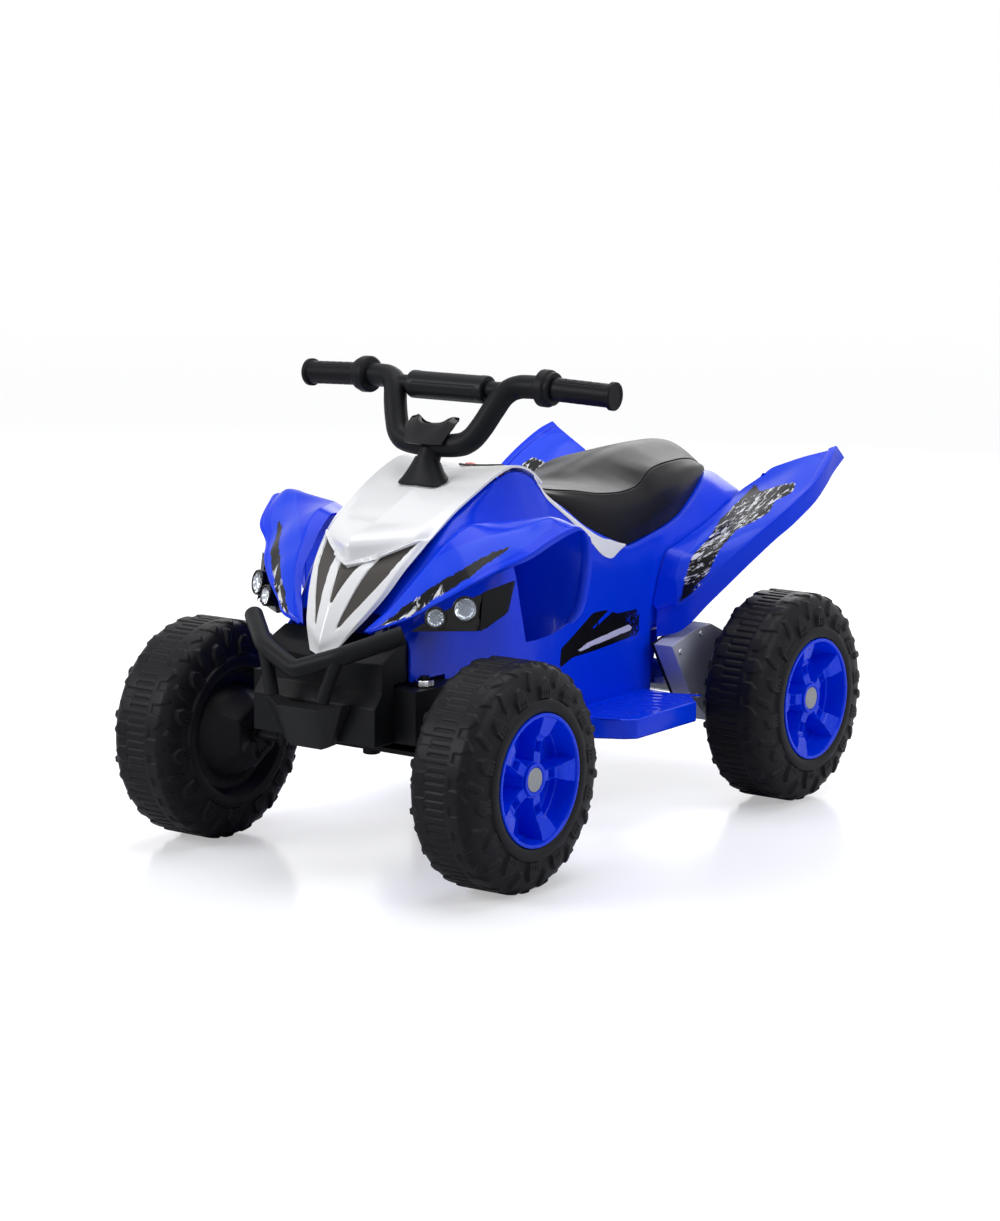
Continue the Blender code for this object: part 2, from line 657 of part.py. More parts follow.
def seat_hinge():
    """The middle of the seat's hinge pin, which stands a little above the deck."""
    deck = deck_height(SEAT_ARM_X / MM + 6, SEAT_HINGE_BACK / MM)
    return front(0, SEAT_HINGE_BACK / MM, deck + SEAT_HINGE_RISE / MM)


def seat_section(place, y, width, edge, crease, quarter, top):
    rise = crease - edge
    half = [(width, edge), (width * 1.03, edge + rise * 0.35), (width * 0.98, edge + rise * 0.75),
            (width * SEAT_CREASE, crease), (width * SEAT_QUARTER, quarter), (0, top)]
    return both_sides([place(x, y, height) for x, height in half])


def make_seat_cover():
    rows = [seat_section(front, *station) for station in SEAT_FRONT]
    rows += [seat_section(rear, *station) for station in SEAT_REAR]
    back = [rear(x, 88, height) for x, height in
            [(30, 225.2), (28, 228), (25, 230), (19, 231.5), (10, 234), (0, 235)]]
    foot = [rear(x, 91, 225.3) for x in (27, 23, 18, 12, 6, 0)]
    rows += [both_sides(back), both_sides(foot)]
    inside = rear(0, -130, 175)
    sheet("seat_cover", rows, SEAT_WALL, inside, GLOSS_BLACK)


def make_seat_base():
    rows = []
    spare = SEAT_WALL / MM + 1.2
    plates = [(front, 236, 54, 233.2)] + [(front,) + row[:3] for row in SEAT_FRONT[1:]]
    plates += [(rear,) + row[:3] for row in SEAT_REAR[:-2]]
    for place, y, width, edge in plates:
        rows.append([place(x, y, edge + 0.3) for x in (width - spare, 30, 0, -30, spare - width)])
    base = sheet("seat_base", rows, PANEL_WALL, rear(0, -100, 900), FRAME_BLACK)
    hinge = seat_hinge()
    plate = front(0, 262, 223.5)
    knee = front(0, 226.5, 239.5)
    eye = [(hinge.y, hinge.z + 0.0052), (hinge.y - 0.0045, hinge.z + 0.0026),
           (hinge.y - 0.0052, hinge.z), (hinge.y - 0.0045, hinge.z - 0.0028),
           (hinge.y, hinge.z - 0.0046), (knee.y, knee.z - 0.0038), (plate.y, plate.z),
           (plate.y, plate.z + 0.0035), (knee.y, knee.z), (hinge.y + 0.005, hinge.z - 0.0012)]
    for side in (-1, 1):
        middle = SEAT_ARM_X * side
        arm = prism(f"seat_arm_{side}", eye, "X", middle - 0.004, middle + 0.004, None)
        combine(base, arm, "UNION")
    bore = SEAT_PIN_RADIUS + RUNNING_CLEARANCE
    cutter = turned("seat_eye", [(-0.05, 0), (-0.05, bore), (0.05, bore), (0.05, 0)], hinge,
                    (1, 0, 0), None, segments=16)
    combine(base, cutter, "DIFFERENCE")
    set_origin(base, hinge)


def make_seat_hinge_pin():
    hinge = seat_hinge()
    half = SEAT_PIN_HALF_LENGTH
    turned("seat_hinge_pin", [(-half, 0), (-half, SEAT_PIN_RADIUS), (half, SEAT_PIN_RADIUS),
                              (half, 0)], hinge, (1, 0, 0), BRIGHT_STEEL, segments=16)


# Headlamps, left: the housing's front outline, and the two lenses.
HOUSING_FRONT = [(84, -15, 131), (138, 22, 132), (152, 45, 147), (155, 50, 177),
                 (122, 16, 160), (96, -6, 141)]
HOUSING_BACK = [(80.8, 7, 131), (133, 42, 133), (143, 62, 148), (146, 68, 174),
                (116, 38, 160), (88, 16, 141)]
LENS_PLACES = {"outer": ((131, 11, 154.5), LENS_OUTER_RADIUS),
               "inner": ((107, -5, 145.5), LENS_INNER_RADIUS)}
LENS_FACING = Vector((0.44, -0.88, 0.17))
LENS_STAND = 0.0015
LAMP_RIM = 0.0014
LAMP_BARREL = 0.020


def lens_axis(side):
    return Vector((LENS_FACING.x * side, LENS_FACING.y, LENS_FACING.z)).normalized()


def make_headlamp(word, side):
    rings = [mirrored([front(*p) for p in ring], side) for ring in (HOUSING_FRONT, HOUSING_BACK)]
    housing = loft(f"headlight_housing_{word}", rings, GLOSS_BLACK)
    facing = lens_axis(side)
    for which, (place, radius) in LENS_PLACES.items():
        spot = mirrored([front(*place)], side)[0]
        rim = radius + LAMP_RIM
        barrel = turned(f"lamp_barrel_{which}_{word}",
                        [(-LAMP_BARREL, 0), (-LAMP_BARREL, rim * 0.6),
                         (-LENS_DEPTH - 0.002, rim), (0, rim), (0, 0)], spot,
                        facing, None, segments=12)
        combine(housing, barrel, "UNION")
        pocket = radius + SEAM
        cutter = turned(f"lamp_pocket_{which}_{word}",
                        [(-LENS_DEPTH - SEAM, 0), (-LENS_DEPTH - SEAM, pocket),
                         (0.02, pocket), (0.02, 0)], spot, facing, None, segments=12)
        combine(housing, cutter, "DIFFERENCE")
        lens = [(-LENS_DEPTH, 0), (-LENS_DEPTH, radius * 0.55), (0, radius),
                (LENS_STAND, radius * 0.85), (LENS_STAND + 0.001, 0)]
        turned(f"headlight_lens_{which}_{word}", lens, spot, facing, LENS_CLEAR, segments=12)


# Front guard
BUMPER_LINE = [(94, -39, 132), (50, -76.5, 112.5), (46, -79, 110.5), (4, -89, 95.5), (0, -89.5, 95)]
BUMPER_POST = [(45, -80, 108), (31.5, -86, 68.5)]
BUMPER_STUB = [(0, -86, 96), (0, -51, 96)]
STUB_RADIUS = 0.0065
SKID_FRONT = [(48.5, -77, 63), (25, -87, 57), (-25, -87, 57), (-48.5, -77, 63), (-30, -70, 20),
              (-19, -74, 15), (19, -74, 15), (30, -70, 20)]
SKID_BACK_Y = -62.1


def make_bumper():
    half = [front(*p) for p in BUMPER_LINE]
    path = half + [Vector((-p.x, p.y, p.z)) for p in reversed(half[:-1])]
    bumper = pipe("front_bumper", path, [BUMPER_RADIUS] * len(path), FRAME_BLACK, sides=10)
    for side in (-1, 1):
        line = mirrored([front(*p) for p in BUMPER_POST], side)
        post = pipe(f"bumper_post_{side}", line, [BUMPER_RADIUS * 0.82] * 2, None, sides=8)
        combine(bumper, post, "UNION")
    line = [front(*p) for p in BUMPER_STUB]
    stub = pipe("bumper_stub", line, [STUB_RADIUS] * 2, None, sides=6)
    combine(bumper, stub, "UNION")


def make_skid_plate():
    ring = [front(*p) for p in SKID_FRONT]
    back = [front(p[0], SKID_BACK_Y, p[2]) for p in SKID_FRONT]
    plate = loft("skid_plate", [ring, back], FRAME_BLACK, 20.0)
    for side in (-1, 1):
        line = mirrored([front(*p) for p in BUMPER_POST], side)
        end = line[1] + (line[1] - line[0]).normalized() * SEAM
        well = pipe(f"post_well_{side}", [line[0], end], [BUMPER_RADIUS * 0.82 + SEAM] * 2, None,
                    sides=8)
        combine(plate, well, "DIFFERENCE")


FASCIA_OUTLINE = [(-61.5, 22), (-61.5, 60), (-50.4, 74), (-50.4, 102), (-34, 112), (-10.5, 122),
                  (-10.5, 79.5), (-30.5, 79.5), (-30.5, 22)]
FASCIA_HOLLOW = [(-58, 10), (-58, 59), (-47, 73), (-47, 99), (-33, 108.5), (30, 118),
                 (30, 60), (-20, 60), (-20, 10)]
FASCIA_HALF_WIDTH = 0.0765
FASCIA_WALL = 0.003


def side_outline(points, place):
    """Points of (y, height) in the plane that runs along the quad."""
    return [(place(0, y, height).y, place(0, y, height).z) for y, height in points]


def make_front_fascia():
    wide = FASCIA_HALF_WIDTH
    fascia = prism("front_fascia", side_outline(FASCIA_OUTLINE, front), "X", -wide, wide,
                   FRAME_BLACK)
    inner = wide - FASCIA_WALL
    hollow = prism("fascia_hollow", side_outline(FASCIA_HOLLOW, front), "X", -inner, inner, None)
    combine(fascia, hollow, "DIFFERENCE")


BEAM_FRONT = -30
BEAM_BACK = 44.6
BEAM_POCKET_WALL = 0.004


def make_axle_beam():
    low = front(0, BEAM_FRONT, BEAM_BOTTOM / MM)
    high = front(0, BEAM_BACK, BEAM_TOP / MM)
    wide = BEAM_HALF_WIDTH
    beam = box("front_axle_beam", (-wide, low.y, low.z), (wide, high.y, high.z), FRAME_BLACK)
    for side in (-1, 1):
        inner = sorted((side * 0.020, side * (KINGPIN_X - 0.012)))
        pocket = box(f"beam_pocket_{side}", (inner[0], low.y + BEAM_POCKET_WALL, low.z - 0.01),
                     (inner[1], high.y - BEAM_POCKET_WALL, high.z - BEAM_POCKET_WALL), None)
        combine(beam, pocket, "DIFFERENCE")
        bore = KINGPIN_RADIUS + RUNNING_CLEARANCE
        kingpin = Vector((side * KINGPIN_X, FRONT_AXLE_Y, low.z))
        cutter = turned(f"kingpin_bore_{side}", [(-0.01, 0), (-0.01, bore), (0.08, bore),
                                                 (0.08, 0)], kingpin, (0, 0, 1), None, 16)
        combine(beam, cutter, "DIFFERENCE")
    combine(beam, column_hole("beam_bore", -0.33, -0.20, RUNNING_CLEARANCE), "DIFFERENCE")
    room = CRANK_BOSS_RADIUS + 0.003
    recess = box("crank_recess", (-room, FRONT_AXLE_Y - 0.012, low.z - 0.01),
                 (room, FRONT_AXLE_Y + 0.024, low.z + 0.011), None)
    combine(beam, recess, "DIFFERENCE")


TRAY_HALF_WIDTH = 0.0765
TRAY_REAR_HALF_WIDTH = 0.0585
TRAY_FRONT = 45
TRAY_REAR = 42
AXLE_PLATE_X = 0.050
AXLE_PLATE_THICKNESS = 0.006
AXLE_PLATE_HALF_WIDTH = 18


def make_chassis_tray():
    low = AXLE_Z + TRAY_BOTTOM
    high = low + TRAY_THICKNESS
    wide = TRAY_HALF_WIDTH / MM
    narrow = TRAY_REAR_HALF_WIDTH / MM
    half = [front(wide, TRAY_FRONT, 0), rear(wide, -99, 0), rear(narrow, -95, 0),
            rear(narrow, TRAY_REAR, 0)]
    outline = [(p.x, p.y) for p in half + mirrored(half[::-1], -1)]
    tray = prism("chassis_tray", outline, "Z", low, high, FRAME_BLACK)
    wall_front = front(0, TRAY_FRONT, 0).y
    wall = box("tray_wall", (-TRAY_HALF_WIDTH, wall_front, low),
               (TRAY_HALF_WIDTH, wall_front + TRAY_THICKNESS, AXLE_Z + BEAM_TOP - 0.01), None)
    combine(tray, wall, "UNION")
    for side in (-1, 1):
        corner = AXLE_PLATE_HALF_WIDTH
        shape = [(-corner, -2), (corner, -2), (corner, 6), (8, 16), (-8, 16), (-corner, 6)]
        inner = sorted((side * AXLE_PLATE_X, side * (AXLE_PLATE_X + AXLE_PLATE_THICKNESS)))
        plate = prism(f"axle_plate_{side}", side_outline(shape, rear), "X", inner[0], inner[1],
                      None)
        combine(tray, plate, "UNION")
    motor = rear(0, MOTOR_BACK, 0)
    room = MOTOR_RADIUS + SEAM
    window = box("motor_window", (GEARBOX_INNER_X - MOTOR_LENGTH - 0.006, motor.y - room, low - 0.01),
                 (GEARBOX_INNER_X, motor.y + room, high + 0.01), None)
    combine(tray, window, "DIFFERENCE")
    bore = AXLE_RADIUS + RUNNING_CLEARANCE
    wide = TRAY_HALF_WIDTH
    groove = turned("axle_bore", [(-wide, 0), (-wide, bore), (wide, bore), (wide, 0)],
                    rear(0, 0, 0), (1, 0, 0), None, segments=16)
    combine(tray, groove, "DIFFERENCE")


def make_steering_column():
    base, axis = column_line()
    r = COLUMN_RADIUS
    turned("steering_column", [(-COLUMN_FOOT, 0), (-COLUMN_FOOT, r), (-0.0125, r), (-0.0125, 0)], base,
           axis, BRIGHT_STEEL, segments=16)
    set_origin(bpy.data.objects["steering_column"], base)


COLUMN_FOOT = 0.3050
CRANK_PLACE = -0.3010
CRANK_THICKNESS = 0.005
CRANK_BOSS_RADIUS = 0.011


def make_steering_crank():
    """The arm at the column's foot; its pin reaches down into the link."""
    base, axis = column_line()
    foot = base + axis * CRANK_PLACE
    back = Vector((0, axis.z, -axis.y))
    tip = foot + back * STEER_ARM_LENGTH
    across = Vector((1, 0, 0))
    outline = []
    for k in range(9):
        turn = math.pi * k / 8
        outline.append(foot + across * CRANK_BOSS_RADIUS * math.cos(turn)
                       - back * CRANK_BOSS_RADIUS * math.sin(turn))
    for k in range(5):
        turn = math.pi * k / 4
        outline.append(tip - across * 0.006 * math.cos(turn) + back * 0.006 * math.sin(turn))
    low = [p - axis * CRANK_THICKNESS / 2 for p in outline]
    high = [p + axis * CRANK_THICKNESS / 2 for p in outline]
    crank = loft("steering_crank", [low, high], FRAME_BLACK)
    reach = LINK_THICKNESS + 0.0025
    pin = turned("crank_pin", [(-reach, 0), (-reach, STEER_PIN_RADIUS),
                               (0.001, STEER_PIN_RADIUS), (0.001, 0)], tip, axis, None, 8)
    combine(crank, pin, "UNION")
    hole = COLUMN_RADIUS + SEAM / 2
    bore = turned("crank_bore", [(-0.02, 0), (-0.02, hole), (0.02, hole), (0.02, 0)], foot, axis,
                  None, 16)
    combine(crank, bore, "DIFFERENCE")
    set_origin(crank, base)


LINK_DROP = 0.0030
CUP_RADIUS = 0.0090
CUP_DEPTH = 0.0060
KNUCKLE_ARM_THICKNESS = 0.005
KNUCKLE_ARM_GAP = 0.001


def link_level():
    """The link's top, just under the crank's pin arm."""
    base, axis = column_line()
    foot = base + axis * CRANK_PLACE
    back = Vector((0, axis.z, -axis.y))
    tip = foot + back * STEER_ARM_LENGTH
    return tip.y, tip.z - CRANK_THICKNESS / 2 - LINK_DROP


def make_steering_link():
    pin_y, top = link_level()
    half = KINGPIN_X + 0.010
    link = box("steering_link", (-half, pin_y - LINK_WIDTH / 2, top - LINK_THICKNESS),
               (half, pin_y + LINK_WIDTH / 2, top), FRAME_BLACK)
    under = top - LINK_THICKNESS
    cup = turned("link_cup", [(0, 0), (0, CUP_RADIUS - 0.001), (0.001, CUP_RADIUS),
                              (CUP_DEPTH + 0.002, CUP_RADIUS), (CUP_DEPTH + 0.002, 0)],
                 (0, pin_y, under - CUP_DEPTH), (0, 0, 1), None, 16)
    combine(link, cup, "UNION")
    for name, x in (("left", KINGPIN_X), ("middle", 0), ("right", -KINGPIN_X)):
        side = STEER_PIN_RADIUS + STEER_SLOT_SIDE_PLAY
        length = STEER_PIN_RADIUS + STEER_SLOT_TRAVEL
        floor = under - 0.001 if x == 0 else top - 0.02
        slot = box(f"link_slot_{name}", (x - side, pin_y - length, floor),
                   (x + side, pin_y + length, top + 0.01), None)
        combine(link, slot, "DIFFERENCE")
    set_origin(link, (0, pin_y, top))


def make_knuckle(word, side):
    """A bent steel axle leg: kingpin, stub axle and steering arm in one welded piece."""
    pin_y, top = link_level()
    axle = Vector((side * KINGPIN_X, FRONT_AXLE_Y, AXLE_Z))
    r = KINGPIN_RADIUS
    beam_top = BEAM_TOP + SEAM
    profile = [(-0.007, 0), (-0.007, r), (beam_top, r), (beam_top, 0.008),
               (beam_top + 0.0065, 0.008), (beam_top + 0.0065, r), (beam_top + 0.010, r),
               (beam_top + 0.010, 0)]
    knuckle = turned(f"steering_knuckle_{word}", profile, axle, (0, 0, 1), BRIGHT_STEEL, 10)
    hub = FRONT_TRACK / 2 - KINGPIN_X
    inner = hub - HUB_INNER_FACE - RUNNING_CLEARANCE
    outer = hub + HUB_OUTER_FACE + RUNNING_CLEARANCE
    r = AXLE_RADIUS
    head = AXLE_HEAD_RADIUS
    stub_line = [(-0.001, 0), (-0.001, r), (inner - 0.004, r), (inner - 0.004, head),
                 (inner, head), (inner, r), (outer, r), (outer, head),
                 (outer + AXLE_HEAD_LENGTH, head), (outer + AXLE_HEAD_LENGTH, 0)]
    stub = turned(f"stub_axle_{word}", stub_line, axle, (side, 0, 0), None, 10)
    combine(knuckle, stub, "UNION")
    arm_low = top + KNUCKLE_ARM_GAP
    arm = box(f"steering_arm_{word}", (axle.x - 0.006, axle.y, arm_low),
              (axle.x + 0.006, pin_y + 0.006, arm_low + KNUCKLE_ARM_THICKNESS), None)
    combine(knuckle, arm, "UNION")
    reach = KNUCKLE_ARM_GAP + LINK_THICKNESS + 0.001
    pin = turned(f"arm_pin_{word}", [(-reach, 0), (-reach, STEER_PIN_RADIUS),
                                     (0.002, STEER_PIN_RADIUS), (0.002, 0)],
                 (axle.x, pin_y, arm_low), (0, 0, 1), None, 8)
    combine(knuckle, pin, "UNION")
    set_origin(knuckle, axle)


# Handlebar: its left half as (x, y, height, radius), from the middle to the grip's end.
BAR_HALF = [(0, 131, 293, 12), (20, 131, 293.8, 12), (36, 132.5, 296, 12), (46, 136, 302, 12),
            (54, 142, 314, 12), (62, 150, 331, 12), (69, 159, 346, 12), (77, 165, 352.5, 12),
            (88, 168, 354.8, 12), (106, 169.5, 355, 12)]
DRUM_START = (106.5, 169.6, 355)
BAR_END = (194, 174, 351.5)
DRUM_LENGTH = 0.0175
GRIP_LENGTH = 0.0700
CROSSBAR_HALF = (66, 161.5, 349.5)


def bar_end_direction():
    start = front(*DRUM_START)
    return start, (front(*BAR_END) - start).normalized()


def make_handlebar():
    start, direction = bar_end_direction()
    half = [front(x, y, height) for x, y, height, _ in BAR_HALF]
    smooth = list(half)
    radii = [HANDLEBAR_RADIUS] * len(smooth)
    for along, radius in ((0.0002, HANDLEBAR_RADIUS), (0.0012, DRUM_RADIUS - 0.002),
                          (0.003, DRUM_RADIUS), (DRUM_LENGTH - 0.003, DRUM_RADIUS),
                          (DRUM_LENGTH - 0.0005, DRUM_RADIUS - 0.002),
                          (DRUM_LENGTH, GRIP_CORE_RADIUS),
                          (DRUM_LENGTH + GRIP_LENGTH - 0.006, GRIP_CORE_RADIUS)):
        smooth.append(start + direction * along)
        radii.append(radius)
    path = [Vector((-p.x, p.y, p.z)) for p in reversed(smooth[1:])] + smooth
    sizes = list(reversed(radii[1:])) + radii
    bar = pipe("handlebar", path, sizes, FRAME_BLACK, sides=10)
    cross = front(*CROSSBAR_HALF)
    line = [Vector((-cross.x, cross.y, cross.z)), cross]
    crossbar = pipe("crossbar", line, [CROSSBAR_RADIUS] * 2, None, sides=10)
    combine(bar, crossbar, "UNION")
    base, axis = column_line()
    clamp = turned("bar_clamp", [(-0.026, 0), (-0.026, 0.0115), (-0.004, 0.0125), (-0.004, 0)],
                   base, axis, None, segments=8)
    combine(bar, clamp, "UNION")
    hole = COLUMN_RADIUS + SEAM / 2
    bore = turned("clamp_bore", [(-0.05, 0), (-0.05, hole), (-0.0120, hole), (-0.0120, 0)], base,
                  axis, None, segments=16)
    combine(bar, bore, "DIFFERENCE")
    set_origin(bar, base)


def make_crossbar_pad():
    cross = front(*CROSSBAR_HALF)
    centre = Vector((0, cross.y, cross.z))
    bore = CROSSBAR_RADIUS + SEAM
    half = CROSSBAR_PAD_HALF_LENGTH
    full = CROSSBAR_PAD_RADIUS
    profile = [(-half, bore), (-half, full - 0.0015), (-half + 0.0015, full),
               (half - 0.0015, full), (half, full - 0.0015), (half, bore)]
    pad = turned("crossbar_pad", profile, centre, (1, 0, 0), FRAME_BLACK, segments=12)
    set_origin(pad, column_line()[0])


def make_grip(word, side):
    start, direction = bar_end_direction()
    start = mirrored([start + direction * (DRUM_LENGTH + SEAM)], side)[0]
    direction = mirrored([direction], side)[0]
    full = GRIP_RADIUS
    bore = GRIP_CORE_RADIUS + SEAM
    end = GRIP_LENGTH
    profile = [(end - 0.006, 0), (end - 0.006, bore), (0, bore), (0, full), (end - 0.006, full),
               (end - 0.005, GRIP_FLANGE_RADIUS), (end - 0.001, GRIP_FLANGE_RADIUS), (end, full),
               (end, 0)]
    grip = turned(f"grip_{word}", profile, start, direction, FRAME_BLACK, segments=12)
    set_origin(grip, column_line()[0])


# The glossy shield between the bar's legs, left half: rows from its foot to its two horns.
SHIELD_ROWS = [
    [(23.4, 114, 296), (14, 112, 296), (6, 111, 296), (0, 111, 296)],
    [(26, 120, 304.5), (15, 118, 304), (7, 117.5, 303.5), (0, 117.5, 303.5)],
    [(29, 128, 314), (17, 124, 312), (8, 123.5, 310.5), (0, 123.5, 310)],
    [(29.5, 136, 320), (20, 131, 319), (9, 129, 315.5), (0, 128.5, 315)],
    [(27, 141, 321.5), (21, 136.5, 323), (10, 133, 316.5), (0, 132.5, 315.5)],
]


def make_bar_shield():
    rows = [both_sides([front(*p) for p in line]) for line in SHIELD_ROWS]
    shield = sheet("bar_shield", rows, 0.0022, front(0, 150, 290), GLOSS_BLACK)
    set_origin(shield, column_line()[0])


BOOT_WALL = 0.0018
BOOT_FOOT = ((102, 130), 27)
BOOT_NECK_PLACE = -0.0270
BOOT_NECK_RADIUS = 0.0115
BOOT_SHARES = (0.0, 0.12, 0.55, 1.0)
BOOT_SIDES = 14


def cowl_height(x, y):
    """The cowl's height at a point of the dashboard, found by halving between its rows."""
    low, high = 6.0, len(COWL_LINES) - 1.001
    for _ in range(24):
        row = (low + high) / 2
        edge = cowl_point(row, 1.0).x
        spot = cowl_point(row, min(abs(x) / edge, 1.0))
        if spot.y < y:
            low = row
        else:
            high = row
    return spot.z


def make_steering_boot():
    """A skirt round the column: it stands on the cowl and narrows to the handlebar's clamp."""
    base, axis = column_line()
    back = Vector((0, axis.z, -axis.y))
    neck = base + axis * BOOT_NECK_PLACE
    (near, far), half = BOOT_FOOT
    rows = []
    for share in BOOT_SHARES:
        ring = []
        for k in range(BOOT_SIDES):
            turn = 2 * math.pi * (k + 0.5) / BOOT_SIDES
            c, s = math.cos(turn), math.sin(turn)
            squared = max(abs(c), abs(s)) ** -0.5
            x = half * c * squared
            y = (near + far) / 2 + (far - near) / 2 * s * squared
            foot = front(x, y, cowl_height(x, y) + 2.6)
            top = neck + Vector((1, 0, 0)) * BOOT_NECK_RADIUS * c + back * BOOT_NECK_RADIUS * s
            ring.append(foot.lerp(top, share) - Vector((0, 0, 0.004)) * share * (1 - share))
        rows.append(ring)
    sheet("steering_boot", rows, BOOT_WALL, base + axis * -0.035, FRAME_BLACK, cyclic=True)


# Wheels
def tyre_profile(hub_face):
    """The wheel body's section as (along the axle, radius, share of a lug's height)."""
    half = TYRE_WIDTH / 2
    full = WHEEL_RADIUS
    bore = AXLE_RADIUS + RUNNING_CLEARANCE
    return [
        (-hub_face, bore, 0), (-hub_face, HUB_FACE_RADIUS, 0),
        (-hub_face + HUB_FACE_EASE, HUB_FACE_RADIUS + HUB_FACE_EASE, 0),
        (-half, HUB_SKIRT_RADIUS, 0), (-half + INNER_GROOVE_DEPTH, INNER_GROOVE_LOW, 0),
        (-half + INNER_GROOVE_DEPTH, INNER_GROOVE_HIGH, 0),
        (-half + 0.001, RIM_SEAT_OUTER, 0), (-half, full - 0.033, 0),
        (-half + 0.007, full - 0.0085, 1), (-half + 0.020, full, 0), (half - 0.020, full, 0),
        (half - 0.007, full - 0.0085, 1), (half, full - 0.033, 0),
        (half - 0.003, RIM_SEAT_OUTER, 0), (HUB_OUTER_FACE, RIM_SEAT_INNER, 0),
        (HUB_OUTER_FACE, bore, 0),
    ]


def ring_solid(name, profile, segments, centre, outward, look):
    """A closed section of (along, radius, lug share) carried round a wheel's axle."""
    points = []
    for along, radius, lug in profile:
        for k in range(segments):
            turn = 2 * math.pi * k / segments - math.pi / 2
            size = radius + (LUG_DEPTH / 2 if k % 2 == 0 else -LUG_DEPTH / 2) * lug
            points.append(centre + Vector((along * outward, size * math.cos(turn),
                                           size * math.sin(turn))))
    faces = []
    for row in range(len(profile)):
        after = (row + 1) % len(profile)
        for k in range(segments):
            n = (k + 1) % segments
            faces.append((row * segments + k, row * segments + n, after * segments + n,
                          after * segments + k))
    return from_faces(name, points, faces, look)


LUG_DEPTH = 0.0035
BLOW_HOLE_RADIUS = 0.003


def make_tyre(name, centre, outward, hub_face):
    """The hollow blow-moulded wheel body, with the small hole that its mould leaves inside.

    Every other shoulder point stands up as a lug.
    """
    tyre = ring_solid(name, tyre_profile(hub_face), 2 * TYRE_LUGS, centre, outward, TYRE_BLACK)
    half = TYRE_WIDTH / 2 - TYRE_WALL
    top = WHEEL_RADIUS - TYRE_WALL - 0.001
    low = RIM_SEAT_OUTER + TYRE_WALL
    section = [(-half + 0.002, low, 0), (-half, WHEEL_RADIUS - 0.033, 0),
               (-half + 0.016, top - 0.003, 0), (half - 0.016, top - 0.003, 0),
               (half, WHEEL_RADIUS - 0.033, 0), (half - 0.002, low, 0)]
    hollow = ring_solid(name + "_hollow", section, TYRE_LUGS, centre, outward, None)
    combine(tyre, hollow, "DIFFERENCE")
    r = BLOW_HOLE_RADIUS
    spot = centre + Vector((-outward * half, 0, -(WHEEL_RADIUS - 0.033)))
    hole = turned(name + "_blow_hole", [(-0.02, 0), (-0.02, r), (0.01, r), (0.01, 0)], spot,
                  (outward, 0, 0), None, segments=8)
    combine(tyre, hole, "DIFFERENCE")
    set_origin(tyre, centre)


RIM_STEPS_PER_SPOKE = 4
SPOKE_HALF = (1.0, 0.35, 0.0, 0.35)


def rim_wall(along):
    """The outside of the rim's barrel, which follows its seat in the tyre."""
    edge = TYRE_WIDTH / 2 - 0.003
    share = (along - HUB_OUTER_FACE) / (edge - HUB_OUTER_FACE)
    return RIM_SEAT_INNER + (RIM_SEAT_OUTER - RIM_SEAT_INNER) * share - SEAM * 1.6


def make_rim(name, centre, outward, turn_by):
    """The coloured insert: a barrel, five spokes with deep pockets between, and a hub ring."""
    lip = TYRE_WIDTH / 2 + RIM_PROUD
    barrel = RIM_SEAT_OUTER - SEAM * 1.6
    back = RIM_BACK_FACE
    segments = SPOKE_COUNT * RIM_STEPS_PER_SPOKE
    cap_seat = SPOKE_FACE - SEAM
    front_rings = [
        (RIM_BORE_RADIUS, None), (HUB_CAP_RADIUS + 0.003, None), (HUB_CAP_RADIUS + 0.0055, "hub"),
        (0.034, "spoke"), (0.054, "spoke"), (0.0575, "rim"),
    ]
    rows = []
    for radius, kind in front_rings:
        row = []
        for k in range(segments):
            share = SPOKE_HALF[k % RIM_STEPS_PER_SPOKE]
            if kind is None:
                level = cap_seat
            elif kind == "hub":
                level = POCKET_FLOOR + 0.006 + (SPOKE_FACE - POCKET_FLOOR - 0.006) * share
            elif kind == "rim":
                level = POCKET_FLOOR + 0.004 + (SPOKE_FACE - POCKET_FLOOR) * share
            else:
                level = POCKET_FLOOR + (SPOKE_FACE - POCKET_FLOOR) * share
            row.append((level, radius))
        rows.append(row)
    for along, radius in ((lip - 0.001, barrel - RIM_LIP_WIDTH), (lip, barrel - 0.001),
                          (TYRE_WIDTH / 2 - 0.003, barrel), (back, rim_wall(back)),
                          (back, RIM_BORE_RADIUS)):
        rows.append([(along, radius)] * segments)
    points = []
    for row in rows:
        for k, (along, radius) in enumerate(row):
            turn = 2 * math.pi * k / segments + turn_by
            points.append(centre + Vector((along * outward, radius * math.cos(turn),
                                           radius * math.sin(turn))))
    faces = []
    for i in range(len(rows)):
        after = (i + 1) % len(rows)
        for k in range(segments):
            n = (k + 1) % segments
            faces.append((i * segments + k, i * segments + n, after * segments + n,
                          after * segments + k))
    rim = from_faces(name, points, faces, BODY_BLUE, 25.0)
    set_origin(rim, centre)


def make_hub_cap(name, centre, outward):
    seat = SPOKE_FACE
    plug = RIM_BORE_RADIUS - SEAM
    full = HUB_CAP_RADIUS
    face = seat + HUB_CAP_THICKNESS
    profile = [(seat - 0.008, 0), (seat - 0.008, plug), (seat, plug), (seat, full),
               (face - 0.0005, full), (face, full - 0.0015), (face, 0)]
    cap = turned(name, profile, centre, (outward, 0, 0), BODY_BLUE, segments=12)
    set_origin(cap, centre)


